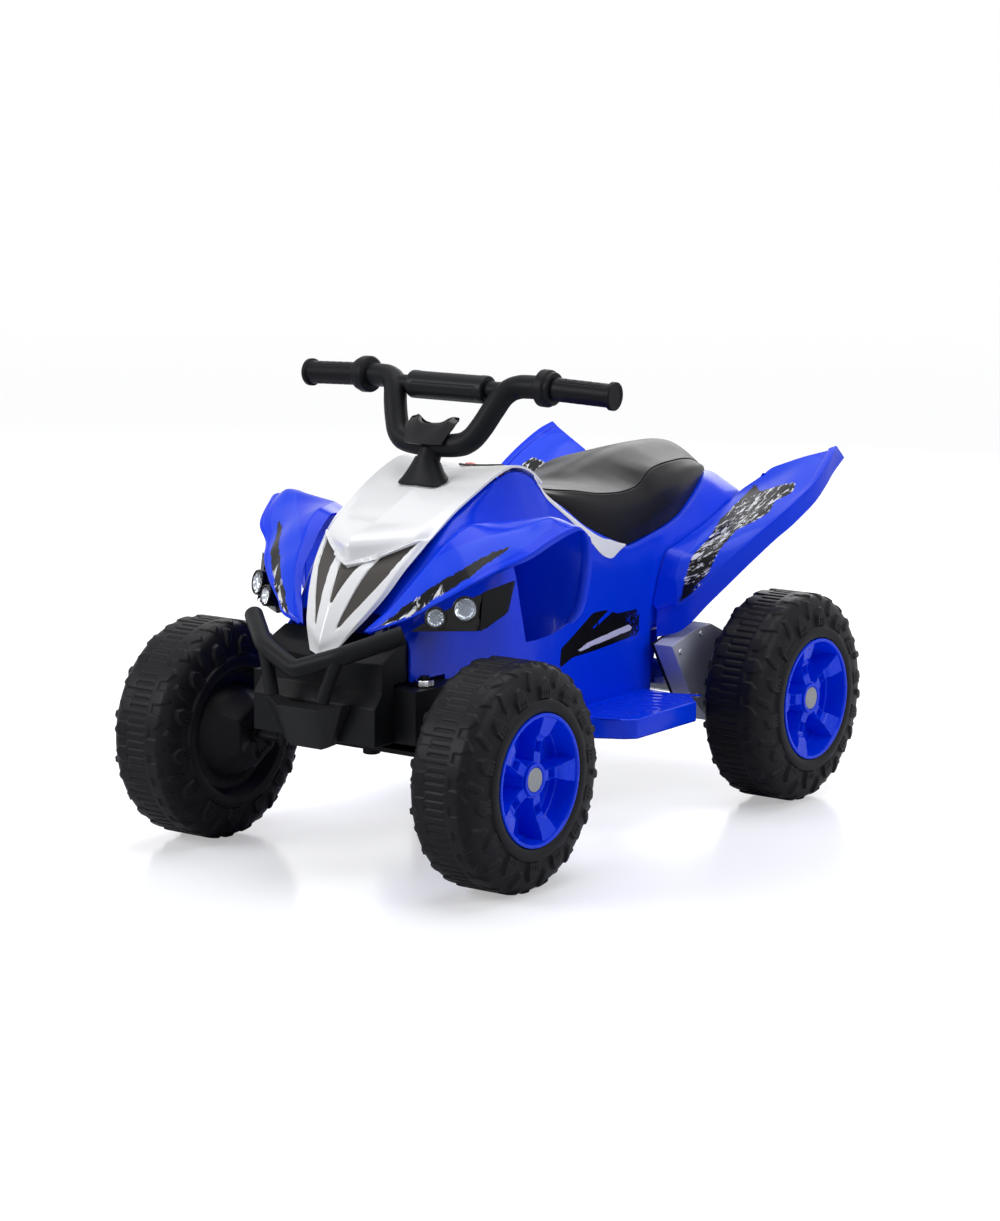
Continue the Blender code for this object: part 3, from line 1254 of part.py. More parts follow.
def make_wheels():
    places = {
        "front_left": (front(FRONT_TRACK / 2 / MM, 0, 0), 1, 0.0, HUB_INNER_FACE),
        "front_right": (front(-FRONT_TRACK / 2 / MM, 0, 0), -1, 0.6, HUB_INNER_FACE),
        "rear_left": (rear(REAR_TRACK / 2 / MM, 0, 0), 1, 0.55, REAR_HUB_INNER_FACE),
        "rear_right": (rear(-REAR_TRACK / 2 / MM, 0, 0), -1, 0.2, REAR_HUB_INNER_FACE),
    }
    for word, (centre, outward, turn_by, hub_face) in places.items():
        make_tyre(f"tyre_{word}", centre, outward, hub_face)
        make_rim(f"rim_{word}", centre, outward, turn_by)
        make_hub_cap(f"hub_cap_{word}", centre, outward)


AXLE_COLLAR_RADIUS = 0.008
GEARBOX_COVER_X = 0.122
GEARBOX_HUB_GAP = 0.010
REAR_HUB_INNER_FACE = REAR_TRACK / 2 - GEARBOX_COVER_X - GEARBOX_HUB_GAP


def make_rear_axle():
    r = AXLE_RADIUS
    head = AXLE_HEAD_RADIUS
    tip = REAR_TRACK / 2 + HUB_OUTER_FACE + RUNNING_CLEARANCE
    collar = REAR_TRACK / 2 - REAR_HUB_INNER_FACE - RUNNING_CLEARANCE
    plate = TRAY_REAR_HALF_WIDTH + SEAM
    profile = [(-tip - AXLE_HEAD_LENGTH, 0), (-tip - AXLE_HEAD_LENGTH, head), (-tip, head),
               (-tip, r), (-collar, r), (-collar, AXLE_COLLAR_RADIUS),
               (-plate, AXLE_COLLAR_RADIUS), (-plate, r), (tip, r), (tip, head),
               (tip + AXLE_HEAD_LENGTH, head), (tip + AXLE_HEAD_LENGTH, 0)]
    turned("rear_axle", profile, rear(0, 0, 0), (1, 0, 0), BRIGHT_STEEL, segments=10)


# Drive
GEARBOX_OUTLINE = [(-108, 60), (-67, -3), (-30, -34), (16, -37), (38, -20), (37, 22), (20, 52),
                   (-30, 74), (-62, 72)]
MOTOR_BACK = -38
MOTOR_HEIGHT = 12.4903


def gear_outline(teeth, centre, phase, slim):
    """Straight-sided teeth, slimmer than their spaces so that they mesh with play."""
    pitch = GEAR_MODULE * teeth / 2
    tip = pitch + GEAR_MODULE * 0.75
    root = pitch - GEAR_MODULE * 1.1
    step = 2 * math.pi / teeth
    outline = []
    for k in range(teeth):
        middle = phase + step * k
        for offset, radius in ((-0.27, root), (-0.11, tip), (0.11, tip), (0.27, root)):
            turn = middle + offset * slim * step
            outline.append((centre.y + radius * math.cos(turn),
                            centre.z + radius * math.sin(turn)))
    return outline


def make_gears():
    axle = rear(0, 0, 0)
    motor = rear(0, MOTOR_BACK, MOTOR_HEIGHT)
    low = DRIVE_GEAR_X + 0.0075
    high = low + GEAR_WIDTH
    line = math.atan2(motor.z - axle.z, motor.y - axle.y)
    disc = prism("drive_gear", gear_outline(DRIVE_GEAR_TEETH, axle, line, 1.0), "X", low, high,
                 PALE_NYLON, 20.0)
    hub = REAR_TRACK / 2 - REAR_HUB_INNER_FACE - RUNNING_CLEARANCE
    sleeve = turned("gear_sleeve", [(low, 0), (low, AXLE_HEAD_RADIUS), (hub, AXLE_HEAD_RADIUS),
                                    (hub, 0)], Vector((0, axle.y, axle.z)), (1, 0, 0), None, 16)
    combine(disc, sleeve, "UNION")
    bore = AXLE_RADIUS + RUNNING_CLEARANCE
    cutter = turned("gear_bore", [(low - 0.01, 0), (low - 0.01, bore), (hub + 0.01, bore),
                                  (hub + 0.01, 0)], Vector((0, axle.y, axle.z)), (1, 0, 0), None,
                    16)
    combine(disc, cutter, "DIFFERENCE")
    set_origin(disc, Vector((REAR_TRACK / 2, axle.y, axle.z)))
    step = 2 * math.pi / PINION_TEETH
    pinion = prism("motor_pinion", gear_outline(PINION_TEETH, motor, line + math.pi + step / 2,
                                                1.0), "X", low, high, BRIGHT_STEEL, 20.0)
    shaft = turned("pinion_shaft", [(low - 0.0055, 0), (low - 0.0055, 0.0025), (low + 0.001, 0.0025),
                                    (low + 0.001, 0)], Vector((0, motor.y, motor.z)), (1, 0, 0),
                   None, 12)
    combine(pinion, shaft, "UNION")
    set_origin(pinion, Vector(((low + high) / 2, motor.y, motor.z)))


PALE_NYLON = ("pale_nylon", PALE_GREY, 0.5)
GEARBOX_INNER_X = DRIVE_GEAR_X + SEAM


def make_gearbox():
    outline = [rear(0, y, height) for y, height in GEARBOX_OUTLINE]
    flat = [(p.y, p.z) for p in outline]
    base_low = GEARBOX_INNER_X
    base_high = base_low + GEARBOX_WALL
    base = prism("gearbox_base", flat, "X", base_low, base_high, FRAME_BLACK)
    axle = rear(0, 0, 0)
    motor = rear(0, MOTOR_BACK, MOTOR_HEIGHT)
    for name, centre, radius in (("axle", axle, AXLE_RADIUS + RUNNING_CLEARANCE),
                                 ("shaft", motor, 0.0032)):
        cutter = turned(f"base_{name}_hole", [(-0.02, 0), (-0.02, radius), (0.02, radius),
                                              (0.02, 0)],
                        Vector((base_low, centre.y, centre.z)), (1, 0, 0), None, 16)
        combine(base, cutter, "DIFFERENCE")
    cover_low = base_high + SEAM
    cover = prism("gearbox_cover", flat, "X", cover_low, GEARBOX_COVER_X, GEARBOX_GREY)
    ring = inset([Vector((y, z, 0)) for y, z in flat], GEARBOX_WALL)
    hollow = prism("cover_hollow", [(p.x, p.y) for p in ring], "X", cover_low - 0.01,
                   GEARBOX_COVER_X - GEARBOX_WALL, None)
    combine(cover, hollow, "DIFFERENCE")
    sleeve = AXLE_HEAD_RADIUS + RUNNING_CLEARANCE
    cutter = turned("cover_hole", [(-0.05, 0), (-0.05, sleeve), (0.05, sleeve), (0.05, 0)],
                    Vector((GEARBOX_COVER_X, axle.y, axle.z)), (1, 0, 0), None, 16)
    combine(cover, cutter, "DIFFERENCE")


def make_motor():
    motor = rear(0, MOTOR_BACK, MOTOR_HEIGHT)
    face = GEARBOX_INNER_X - SEAM
    r = MOTOR_RADIUS
    profile = [(-MOTOR_LENGTH - 0.003, 0), (-MOTOR_LENGTH - 0.003, 0.006),
               (-MOTOR_LENGTH, 0.006), (-MOTOR_LENGTH, r), (0, r), (0, 0)]
    turned("drive_motor", profile, Vector((face, motor.y, motor.z)), (1, 0, 0), BRIGHT_STEEL,
           segments=14)


# Electrics
BATTERY_SIZE = (0.070, 0.101, 0.047)
BATTERY_Y = 300
CONTROL_BOX_SIZE = (0.060, 0.042, 0.024)
CONTROL_BOX_Y = 180


def stand_on_tray(name, size, y, look):
    low = AXLE_Z + TRAY_BOTTOM + TRAY_THICKNESS + SEAM
    start = front(0, y, 0).y
    box(name, (-size[0] / 2, start, low), (size[0] / 2, start + size[1], low + size[2]), look)


SWITCH_PLACE = (38, 195, 264.6)
SWITCH_SIZE = (0.012, 0.018)
BUTTON_PLACE = (0, 196, 266.2)
BUTTON_RADIUS = 0.006
BUTTON_DEPTH = 0.008
SWITCH_DEPTH = 0.007


def switch_slot():
    spot = front(*SWITCH_PLACE)
    wide = SWITCH_SIZE[0] / 2 + 0.0008
    long = SWITCH_SIZE[1] / 2 + 0.0012
    return box("switch_slot", (spot.x - wide, spot.y - long, spot.z - 0.02),
               (spot.x + wide, spot.y + long, spot.z + 0.02), None)


def button_slot():
    spot = front(*BUTTON_PLACE)
    r = BUTTON_RADIUS + SEAM
    return turned("button_slot", [(-0.02, 0), (-0.02, r), (0.02, r), (0.02, 0)], spot, (0, 0, 1),
                  None, 16)


DASH_SLOTS = (switch_slot, button_slot)


def make_dash_controls():
    """A rocker for forwards and backwards, and a push button for the horn."""
    spot = front(*SWITCH_PLACE)
    half = SWITCH_SIZE[1] / 2
    outline = [(-half, 0.0035), (0, 0.0010), (half, -0.0006), (half * 0.8, -SWITCH_DEPTH),
               (-half * 0.8, -SWITCH_DEPTH)]
    flat = [(spot.y + y, spot.z + z) for y, z in outline]
    wide = SWITCH_SIZE[0] / 2
    rocker = prism("rocker_switch", flat, "X", spot.x - wide, spot.x + wide, SWITCH_RED)
    set_origin(rocker, (spot.x, spot.y, spot.z - SWITCH_DEPTH / 2))
    spot = front(*BUTTON_PLACE)
    r = BUTTON_RADIUS
    button = turned("horn_button", [(-BUTTON_DEPTH, 0), (-BUTTON_DEPTH, r), (0.0012, r),
                                    (0.002, r - 0.001), (0.0022, 0)], spot, (0, 0, 1),
                    SWITCH_RED, 16)
    set_origin(button, spot)


PEDAL_HINGE = (-132, 318)
PEDAL_LENGTH = 0.056
PEDAL_HALF_WIDTH = 0.022
PEDAL_THICKNESS = 0.004
PEDAL_REST = math.radians(13.0)
PEDAL_BARREL_RADIUS = 0.003


def pedal_hinge():
    hinge = front(PEDAL_HINGE[0], PEDAL_HINGE[1], 0)
    hinge.z = AXLE_Z + FOOTBOARD_TOP + SEAM + PEDAL_BARREL_RADIUS
    return hinge


def make_foot_pedal():
    """The accelerator: a plate hinged at its heel, raised at rest."""
    hinge = pedal_hinge()
    r = PEDAL_BARREL_RADIUS
    ahead = Vector((0, -math.cos(PEDAL_REST), math.sin(PEDAL_REST)))
    above = Vector((0, math.sin(PEDAL_REST), math.cos(PEDAL_REST)))
    outline = []
    for k in range(7):
        turn = math.pi * (0.5 - k / 6)
        outline.append(hinge - ahead * r * math.cos(turn) + above * r * math.sin(turn))
    toe = hinge + ahead * PEDAL_LENGTH
    outline += [toe - above * (r - 0.0005), toe + above * (PEDAL_THICKNESS - r)]
    flat = [(p.y, p.z) for p in outline]
    wide = PEDAL_HALF_WIDTH
    pedal = prism("foot_pedal", flat, "X", hinge.x - wide, hinge.x + wide, FRAME_BLACK)
    set_origin(pedal, hinge)


def main():
    clear_scene()
    make_body_shell()
    make_nose_cowl()
    make_grille_inserts()
    for word, side in (("left", 1), ("right", -1)):
        make_front_fender(f"front_fender_{word}", side)
        make_rear_fender(f"rear_fender_{word}", side)
        make_footboard(f"footboard_{word}", side)
        make_headlamp(word, side)
        make_knuckle(word, side)
        make_grip(word, side)
    make_seat_cover()
    make_seat_base()
    make_seat_hinge_pin()
    make_bumper()
    make_skid_plate()
    make_front_fascia()
    make_axle_beam()
    make_chassis_tray()
    make_steering_column()
    make_steering_crank()
    make_steering_link()
    make_handlebar()
    make_crossbar_pad()
    make_bar_shield()
    make_steering_boot()
    make_wheels()
    make_rear_axle()
    make_gears()
    make_gearbox()
    make_motor()
    stand_on_tray("battery", BATTERY_SIZE, BATTERY_Y, FRAME_BLACK)
    stand_on_tray("control_box", CONTROL_BOX_SIZE, CONTROL_BOX_Y, FRAME_BLACK)
    make_charge_socket()
    make_dash_controls()
    make_foot_pedal()


main()
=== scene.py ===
# %% [markdown]
# # A child's battery quad, dressed for its picture
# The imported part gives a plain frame: sixty named solids in metres, with the front towards -Y,
# the rider's left at +X and the floor at z = 0.  This lesson puts finer surfaces round that
# frame and gives every piece its own material.  The solids could have been given finer faces
# instead, but a physics model works best with few faces, so the fine work is done here.

import json
import math

import bmesh
import bpy
import numpy as np
from mathutils import Matrix, Vector

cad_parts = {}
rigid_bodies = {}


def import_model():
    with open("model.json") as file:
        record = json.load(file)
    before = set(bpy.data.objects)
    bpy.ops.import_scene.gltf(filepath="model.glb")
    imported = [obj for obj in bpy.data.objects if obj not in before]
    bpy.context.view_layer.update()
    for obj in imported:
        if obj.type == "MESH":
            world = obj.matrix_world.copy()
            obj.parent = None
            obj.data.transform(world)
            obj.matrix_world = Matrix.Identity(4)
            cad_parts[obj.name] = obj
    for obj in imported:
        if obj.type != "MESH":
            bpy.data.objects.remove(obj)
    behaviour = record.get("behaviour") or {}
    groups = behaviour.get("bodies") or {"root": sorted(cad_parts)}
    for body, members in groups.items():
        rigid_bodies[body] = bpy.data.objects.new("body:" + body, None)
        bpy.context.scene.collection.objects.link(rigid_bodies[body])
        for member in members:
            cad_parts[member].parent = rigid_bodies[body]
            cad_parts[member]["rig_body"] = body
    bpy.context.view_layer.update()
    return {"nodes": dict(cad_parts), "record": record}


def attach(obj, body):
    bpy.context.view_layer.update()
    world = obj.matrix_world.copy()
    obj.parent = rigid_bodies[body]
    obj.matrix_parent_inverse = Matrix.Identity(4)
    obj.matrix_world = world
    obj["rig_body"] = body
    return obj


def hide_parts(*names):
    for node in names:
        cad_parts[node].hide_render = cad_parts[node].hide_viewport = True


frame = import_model()
NODES = frame["nodes"]
print("nodes in the frame:", len(NODES))

# %% [markdown]
# ## Measures
# Outlines are drawn in millimetres from the nearer axle: x from the middle plane, y towards the
# back and the height from the axle.  Two small helpers turn them into metres in the frame.

# %% Axles and helpers
MM = 0.001
AXLE_HEIGHT = 0.113
FRONT_AXLE = np.array([0.0, -0.260, AXLE_HEIGHT])
REAR_AXLE = np.array([0.0, 0.243, AXLE_HEIGHT])
HALF_FRONT_TRACK = 0.1875
HALF_REAR_TRACK = 0.196
WHEELBASE = (REAR_AXLE - FRONT_AXLE)[1] / MM


def from_front(points):
    """Points drawn in millimetres from the front axle, in metres."""
    return FRONT_AXLE + np.asarray(points, float) * MM


def from_rear(points):
    """Points drawn in millimetres from the rear axle, in metres."""
    return REAR_AXLE + np.asarray(points, float) * MM


SIDES = (("left", 1), ("right", -1))


def mirror(points, side):
    """The same points for the left (+1) or the right (-1) of the quad."""
    return np.asarray(points, float) * np.array([side, 1.0, 1.0])


# %% [markdown]
# ## Camera
# The view was worked out from the round wheels, which show the tilt, and from pairs of equal
# points left and right, which show the turn.  A long lens keeps the lines nearly parallel, so
# the camera stands about three and a half metres away.

# %% Place the camera
VIEW_TURN = math.radians(35.878)
VIEW_RISE = math.radians(9.929)
VIEW_ROLL = math.radians(0.308)
CAMERA_PLACE = (1.9760, -2.7424, 0.8094)
LENS_MM = 95.94


def camera_matrix():
    """Columns are the camera's right, up and back directions, turned by the roll."""
    back = Vector((math.sin(VIEW_TURN) * math.cos(VIEW_RISE),
                   -math.cos(VIEW_TURN) * math.cos(VIEW_RISE), math.sin(VIEW_RISE)))
    right = Vector((math.cos(VIEW_TURN), math.sin(VIEW_TURN), 0.0))
    up = back.cross(right)
    cosine, sine = math.cos(VIEW_ROLL), math.sin(VIEW_ROLL)
    columns = (right * cosine + up * sine, up * cosine - right * sine, back)
    turned = Matrix([[c[i] for c in columns] for i in range(3)]).to_4x4()
    turned.translation = Vector(CAMERA_PLACE)
    return turned


scene = bpy.context.scene
lens = bpy.data.cameras.new("studio_camera")
lens.lens = LENS_MM
lens.sensor_width = 36.0
lens.clip_end = 50.0
camera = bpy.data.objects.new("studio_camera", lens)
camera.matrix_world = camera_matrix()
scene.collection.objects.link(camera)
scene.camera = camera
scene.view_settings.view_transform = "Standard"
print("camera stands", round(camera.location.length, 2), "m from the origin")

# %% [markdown]
# ## Shader helpers
# Lights, floor and finishes are all small graphs of nodes.  These helpers add a node, feed its
# sockets with a link or a plain value, and give back the output that the next node needs.


# %% Node helpers
def add(tree, kind, **settings):
    """A new node of a kind, with its settings."""
    made = tree.nodes.new(kind)
    for key, value in settings.items():
        setattr(made, key, value)
    return made


def feed(tree, socket, source):
    """Links a socket to a source, or sets it when the source is a plain value."""
    if isinstance(source, bpy.types.NodeSocket):
        tree.links.new(source, socket)
    else:
        socket.default_value = source


def maths(tree, operation, a, b=None, c=None, clamp=False):
    """One sum on up to three values."""
    made = add(tree, "ShaderNodeMath", operation=operation, use_clamp=clamp)
    for socket, source in zip(made.inputs, (a, b, c)):
        if source is not None:
            feed(tree, socket, source)
    return made.outputs[0]


def ramp(tree, value, low, high):
    """0 below low, 1 above high, and smooth between."""
    made = add(tree, "ShaderNodeMapRange", interpolation_type="SMOOTHSTEP")
    feed(tree, made.inputs["Value"], value)
    feed(tree, made.inputs["From Min"], low)
    feed(tree, made.inputs["From Max"], high)
    return made.outputs["Result"]


def tint(tree, share, first, second):
    """The first colour where the share is 0 and the second where it is 1."""
    made = add(tree, "ShaderNodeMix", data_type="RGBA")
    feed(tree, made.inputs[0], share)
    feed(tree, made.inputs[6], first)
    feed(tree, made.inputs[7], second)
    return made.outputs[2]


def noise(tree, vector, scale, detail=2.0, rough=0.5, warp=0.0):
    """Cloudy values around a half."""
    made = add(tree, "ShaderNodeTexNoise")
    for title, value in (("Vector", vector), ("Scale", scale), ("Detail", detail),
                         ("Roughness", rough), ("Distortion", warp)):
        feed(tree, made.inputs[title], value)
    return made.outputs["Fac"]


def new_group(name, inputs, outputs):
    """A shader group with named sockets: inputs are (name, kind, default)."""
    group = bpy.data.node_groups.new(name, "ShaderNodeTree")
    for title, kind, value in inputs:
        socket = group.interface.new_socket(title, in_out="INPUT", socket_type=kind)
        if value is not None:
            socket.default_value = value
    for title, kind in outputs:
        group.interface.new_socket(title, in_out="OUTPUT", socket_type=kind)
    given = add(group, "NodeGroupInput").outputs
    return group, given, add(group, "NodeGroupOutput").inputs


FLOAT, COLOUR, VECTOR = "NodeSocketFloat", "NodeSocketColor", "NodeSocketVector"
print("node helpers ready")

# %% [markdown]
# ## Light and floor
# The picture is a studio cut-out: white all round, soft light from above and both sides, and a
# floor that mirrors the wheels faintly.  Area lamps give soft edges.  The white comes from the
# world as the camera sees it, while a dimmer grey world fills the shadows, and the floor glows
# a little towards the camera.

# %% Light the studio
FLOOR_SIZE = 14.0
FLOOR_ROUGHNESS = 0.17
FLOOR_GLOW = 0.40
WORLD_SEEN = ((1.0, 1.0, 1.0, 1.0), 1.0)
WORLD_FILL = ((0.93, 0.95, 1.0, 1.0), 0.12)
LAMPS = (
    ("top_softbox", (0.1, 0.1, 2.3), (0.0, 0.0, 0.2), 1.9, 30.0),
    ("left_softbox", (2.3, 0.3, 1.5), (0.0, 0.0, 0.2), 1.4, 20.0),
    ("front_softbox", (-1.3, -2.2, 1.5), (0.0, -0.1, 0.25), 1.2, 34.0),
    ("back_softbox", (-0.8, 2.4, 1.5), (0.0, 0.1, 0.25), 1.5, 16.0),
)


def add_lamp(name, place, aim, size, power):
    """A square area lamp of a size in metres and a power in watts, aimed at a point."""
    data = bpy.data.lights.new(name, "AREA")
    data.shape = "SQUARE"
    data.size = size
    data.energy = power
    lamp = bpy.data.objects.new(name, data)
    direction = Vector(aim) - Vector(place)
    turned = direction.to_track_quat("-Z", "Y").to_matrix().to_4x4()
    turned.translation = Vector(place)
    lamp.matrix_world = turned
    scene.collection.objects.link(lamp)


def white_to_the_eye(tree, seen, unseen):
    """Mixes two shaders: camera, mirror and glass rays see the first, other rays the second."""
    path = add(tree, "ShaderNodeLightPath").outputs
    looking = maths(tree, "MAXIMUM", path["Is Camera Ray"], path["Is Glossy Ray"])
    looking = maths(tree, "MAXIMUM", looking, path["Is Transmission Ray"])
    mix = add(tree, "ShaderNodeMixShader")
    for socket, source in zip(mix.inputs, (looking, unseen, seen)):
        feed(tree, socket, source)
    return mix.outputs[0]


for lamp in LAMPS:
    add_lamp(*lamp)

world = bpy.data.worlds.new("studio_world")
scene.world = world
world.use_nodes = True
sky = world.node_tree
sky.nodes.clear()
glows = []
for colour, strength in (WORLD_SEEN, WORLD_FILL):
    background = add(sky, "ShaderNodeBackground")
    feed(sky, background.inputs["Color"], colour)
    feed(sky, background.inputs["Strength"], strength)
    glows.append(background.outputs[0])
feed(sky, add(sky, "ShaderNodeOutputWorld").inputs[0], white_to_the_eye(sky, *glows))

floor_look = bpy.data.materials.new("studio_floor")
floor_look.use_nodes = True
tree = floor_look.node_tree
gloss = tree.nodes["Principled BSDF"]
gloss.inputs["Base Color"].default_value = (0.90, 0.91, 0.96, 1.0)
gloss.inputs["Roughness"].default_value = FLOOR_ROUGHNESS
glow = add(tree, "ShaderNodeEmission")
feed(tree, glow.inputs["Color"], (1.0, 1.0, 1.0, 1.0))
seen = add(tree, "ShaderNodeLightPath").outputs["Is Camera Ray"]
feed(tree, glow.inputs["Strength"], maths(tree, "MULTIPLY", seen, FLOOR_GLOW))
both = add(tree, "ShaderNodeAddShader")
feed(tree, both.inputs[0], gloss.outputs[0])
feed(tree, both.inputs[1], glow.outputs[0])
feed(tree, tree.nodes["Material Output"].inputs["Surface"], both.outputs[0])

floor_mesh = bpy.data.meshes.new("studio_floor")
reach = FLOOR_SIZE / 2
floor_mesh.from_pydata([(-reach, -reach, 0), (reach, -reach, 0), (reach, reach, 0),
                        (-reach, reach, 0)], [], [(0, 1, 2, 3)])
floor_mesh.materials.append(floor_look)
studio_floor = bpy.data.objects.new("studio_floor", floor_mesh)
scene.collection.objects.link(studio_floor)
print("lamps:", len(LAMPS))

# %% [markdown]
# ## Surfaces from arrays
# Each new piece is a grid of points worked out with numpy.  `through` sweeps smoothly through
# drawn rows, `rounded` eases the corners across each row as a mould does, and `skin` gives the
# sheet its wall, so that every piece is a closed solid.


# %% Grid helpers
CORNER_SHARE = 0.46


def through(rows, per_gap):
    """A cubic curve through the rows that never overshoots: where a coordinate turns back its
    slope is 0, and elsewhere it is the harmonic mean of the slopes before and after."""
    rows = np.asarray(rows, float)
    step = np.linalg.norm((rows[1:] - rows[:-1]).reshape(len(rows) - 1, -1), axis=1) + 1e-9
    gap = step.reshape((-1,) + (1,) * (rows.ndim - 1))
    secant = (rows[1:] - rows[:-1]) / gap
    before, after = secant[:-1], secant[1:]
    same = before * after > 0
    slope = np.zeros_like(rows)
    weight = 2 * gap[1:] + gap[:-1], gap[1:] + 2 * gap[:-1]
    total = weight[0] + weight[1]
    safe = np.where(same, before, 1.0), np.where(same, after, 1.0)
    slope[1:-1] = np.where(same, total / (weight[0] / safe[0] + weight[1] / safe[1]), 0.0)
    slope[0], slope[-1] = secant[0], secant[-1]
    t = (np.arange(per_gap) / per_gap).reshape((1, -1) + (1,) * (rows.ndim - 1))
    a, b, g = rows[:-1, None], rows[1:, None], gap[:, None]
    ma, mb = slope[:-1, None] * g, slope[1:, None] * g
    curve = ((2 * t**3 - 3 * t**2 + 1) * a + (t**3 - 2 * t**2 + t) * ma
             + (3 * t**2 - 2 * t**3) * b + (t**3 - t**2) * mb)
    return np.concatenate([curve.reshape((-1,) + rows.shape[1:]), rows[-1:]])


def rounded(rows, radii, turns, flats, closed=False):
    """Eases each corner of the rows (U, P, 3): a quadratic curve from one radius before the
    corner to one radius after it, with straight stretches between.  No corner takes more than
    its share of a side."""
    rows = np.asarray(rows, float)
    count = rows.shape[1]
    parts = []
    inner = range(count) if closed else range(1, count - 1)
    last = None if closed else rows[:, 0]
    if not closed:
        parts.append(rows[:, 0])
    curves = []
    for j in inner:
        before, corner, after = rows[:, j - 1], rows[:, j], rows[:, (j + 1) % count]
        near = np.linalg.norm(before - corner, axis=-1, keepdims=True) + 1e-9
        far = np.linalg.norm(after - corner, axis=-1, keepdims=True) + 1e-9
        start = corner + (before - corner) / near * np.minimum(radii[j], CORNER_SHARE * near)
        end = corner + (after - corner) / far * np.minimum(radii[j], CORNER_SHARE * far)
        curves.append((start, corner, end))
    for j, (start, corner, end) in enumerate(curves):
        if last is None:
            last = curves[-1][2]
        parts += [last + (start - last) * k / flats for k in range(1, flats + 1)]
        for k in range(1, turns + 1):
            t = k / turns
            parts.append((1 - t) ** 2 * start + 2 * t * (1 - t) * corner + t**2 * end)
        last = end
    if not closed:
        parts += [last + (rows[:, -1] - last) * k / flats for k in range(1, flats + 1)]
    return np.stack(parts, 1)


def grid_faces(rows, columns, closed_rows=False, closed_columns=False):
    """Quads of a grid of points, as indices into its rows laid end to end."""
    i = np.arange(rows if closed_rows else rows - 1)
    j = np.arange(columns if closed_columns else columns - 1)
    i, j = np.meshgrid(i, j, indexing="ij")
    i2, j2 = (i + 1) % rows, (j + 1) % columns
    return np.stack([i * columns + j, i2 * columns + j, i2 * columns + j2, i * columns + j2],
                    -1).reshape(-1, 4)


def tipped_faces(rows, columns, tips, closed_rows=False):
    """Faces of rings laid end to end, where each ring named in tips is a single point."""
    keep = np.arange(rows * columns).reshape(rows, columns)
    for row in tips:
        keep[row] = keep[row, 0]
    return keep.ravel()[grid_faces(rows, columns, closed_rows, closed_columns=True)]


def grid_normals(grid, closed_columns=False):
    """Unit normals of a grid from the cross product of its two directions."""
    down = np.gradient(grid, axis=0)
    if closed_columns:
        across = np.roll(grid, -1, 1) - np.roll(grid, 1, 1)
    else:
        across = np.gradient(grid, axis=1)
    normal = np.cross(down, across)
    return normal / (np.linalg.norm(normal, axis=-1, keepdims=True) + 1e-12)


def smooth_step(value, low, high):
    """0 below low, 1 above high and an S-shaped rise between."""
    t = np.clip((value - low) / (high - low), 0.0, 1.0)
    return t * t * (3 - 2 * t)


# %% Piece helpers
PIECES = []
TUBE_END_SHARES = np.array([0.92, 0.46, 0.0])[:, None, None]
TUBE_SHARP_ANGLE = 50.0


def signed_volume(points, faces):
    """Six times the volume inside the faces, which is negative when they point inwards."""
    total = 0.0
    for a, b in ((1, 2), (2, 3)):
        p, q, r = points[faces[:, 0]], points[faces[:, a]], points[faces[:, b]]
        total += np.einsum("ij,ij->", p, np.cross(q, r))
    return total


def piece(name, points, faces, look, body, replaces=(), uv=None, sharp=38.0):
    """A closed mesh from points and quads, riding on a body of the frame."""
    points = np.ascontiguousarray(np.asarray(points, float).reshape(-1, 3))
    faces = np.asarray(faces)
    used, faces = np.unique(faces, return_inverse=True)
    faces = faces.reshape(-1, 4)
    points = points[used]
    if signed_volume(points - points.mean(0), faces) < 0:
        faces = faces[:, ::-1]
    mesh = bpy.data.meshes.new(name)
    quads = [list(dict.fromkeys(q)) for q in faces.tolist()]
    mesh.from_pydata(points.tolist(), [], [q for q in quads if len(q) > 2])
    mesh.polygons.foreach_set("use_smooth", np.ones(len(mesh.polygons), bool))
    if uv is not None:
        layer = mesh.uv_layers.new(name="surface")
        index = np.empty(len(mesh.loops), np.int32)
        mesh.loops.foreach_get("vertex_index", index)
        flat = np.asarray(uv, float).reshape(-1, 2)[used][index]
        layer.data.foreach_set("uv", np.ascontiguousarray(flat, np.float32).ravel())
    mesh.set_sharp_from_angle(angle=math.radians(sharp))
    mesh.materials.append(look)
    thing = bpy.data.objects.new(name, mesh)
    scene.collection.objects.link(thing)
    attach(thing, body)
    if replaces:
        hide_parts(*replaces)
    PIECES.append(thing)
    return thing


def skin(name, grid, wall, inside, look, body, replaces=(), closed_columns=False,
         sharp=38.0):
    """A panel with a wall: the grid is its outer face and a second grid lies one wall inside."""
    grid = np.asarray(grid, float)
    rows, columns = grid.shape[:2]
    normal = grid_normals(grid, closed_columns)
    outward = np.einsum("ijk,ijk->", normal, grid - np.asarray(inside, float))
    if outward < 0:
        normal = -normal
    inner = grid - normal * wall
    points = np.concatenate([grid.reshape(-1, 3), inner.reshape(-1, 3)])
    count = rows * columns
    outer = grid_faces(rows, columns, closed_columns=closed_columns)
    faces = [outer, outer[:, ::-1] + count]
    index = np.arange(count).reshape(rows, columns)
    edges = [(index[0], 1), (index[-1], -1)]
    if not closed_columns:
        edges += [(index[:, 0], -1), (index[:, -1], 1)]
    for line, way in edges:
        a, b = line[:-1], line[1:]
        if closed_columns:
            a, b = line, np.roll(line, -1)
        strip = np.stack([a, b, b + count, a + count], -1)
        faces.append(strip if way > 0 else strip[:, ::-1])
    u, v = np.meshgrid(np.linspace(0, 1, rows), np.linspace(0, 1, columns), indexing="ij")
    uv = np.stack([u, v], -1).reshape(-1, 2)
    return piece(name, points, np.concatenate(faces), look, body, replaces,
                 np.concatenate([uv, uv]), sharp)


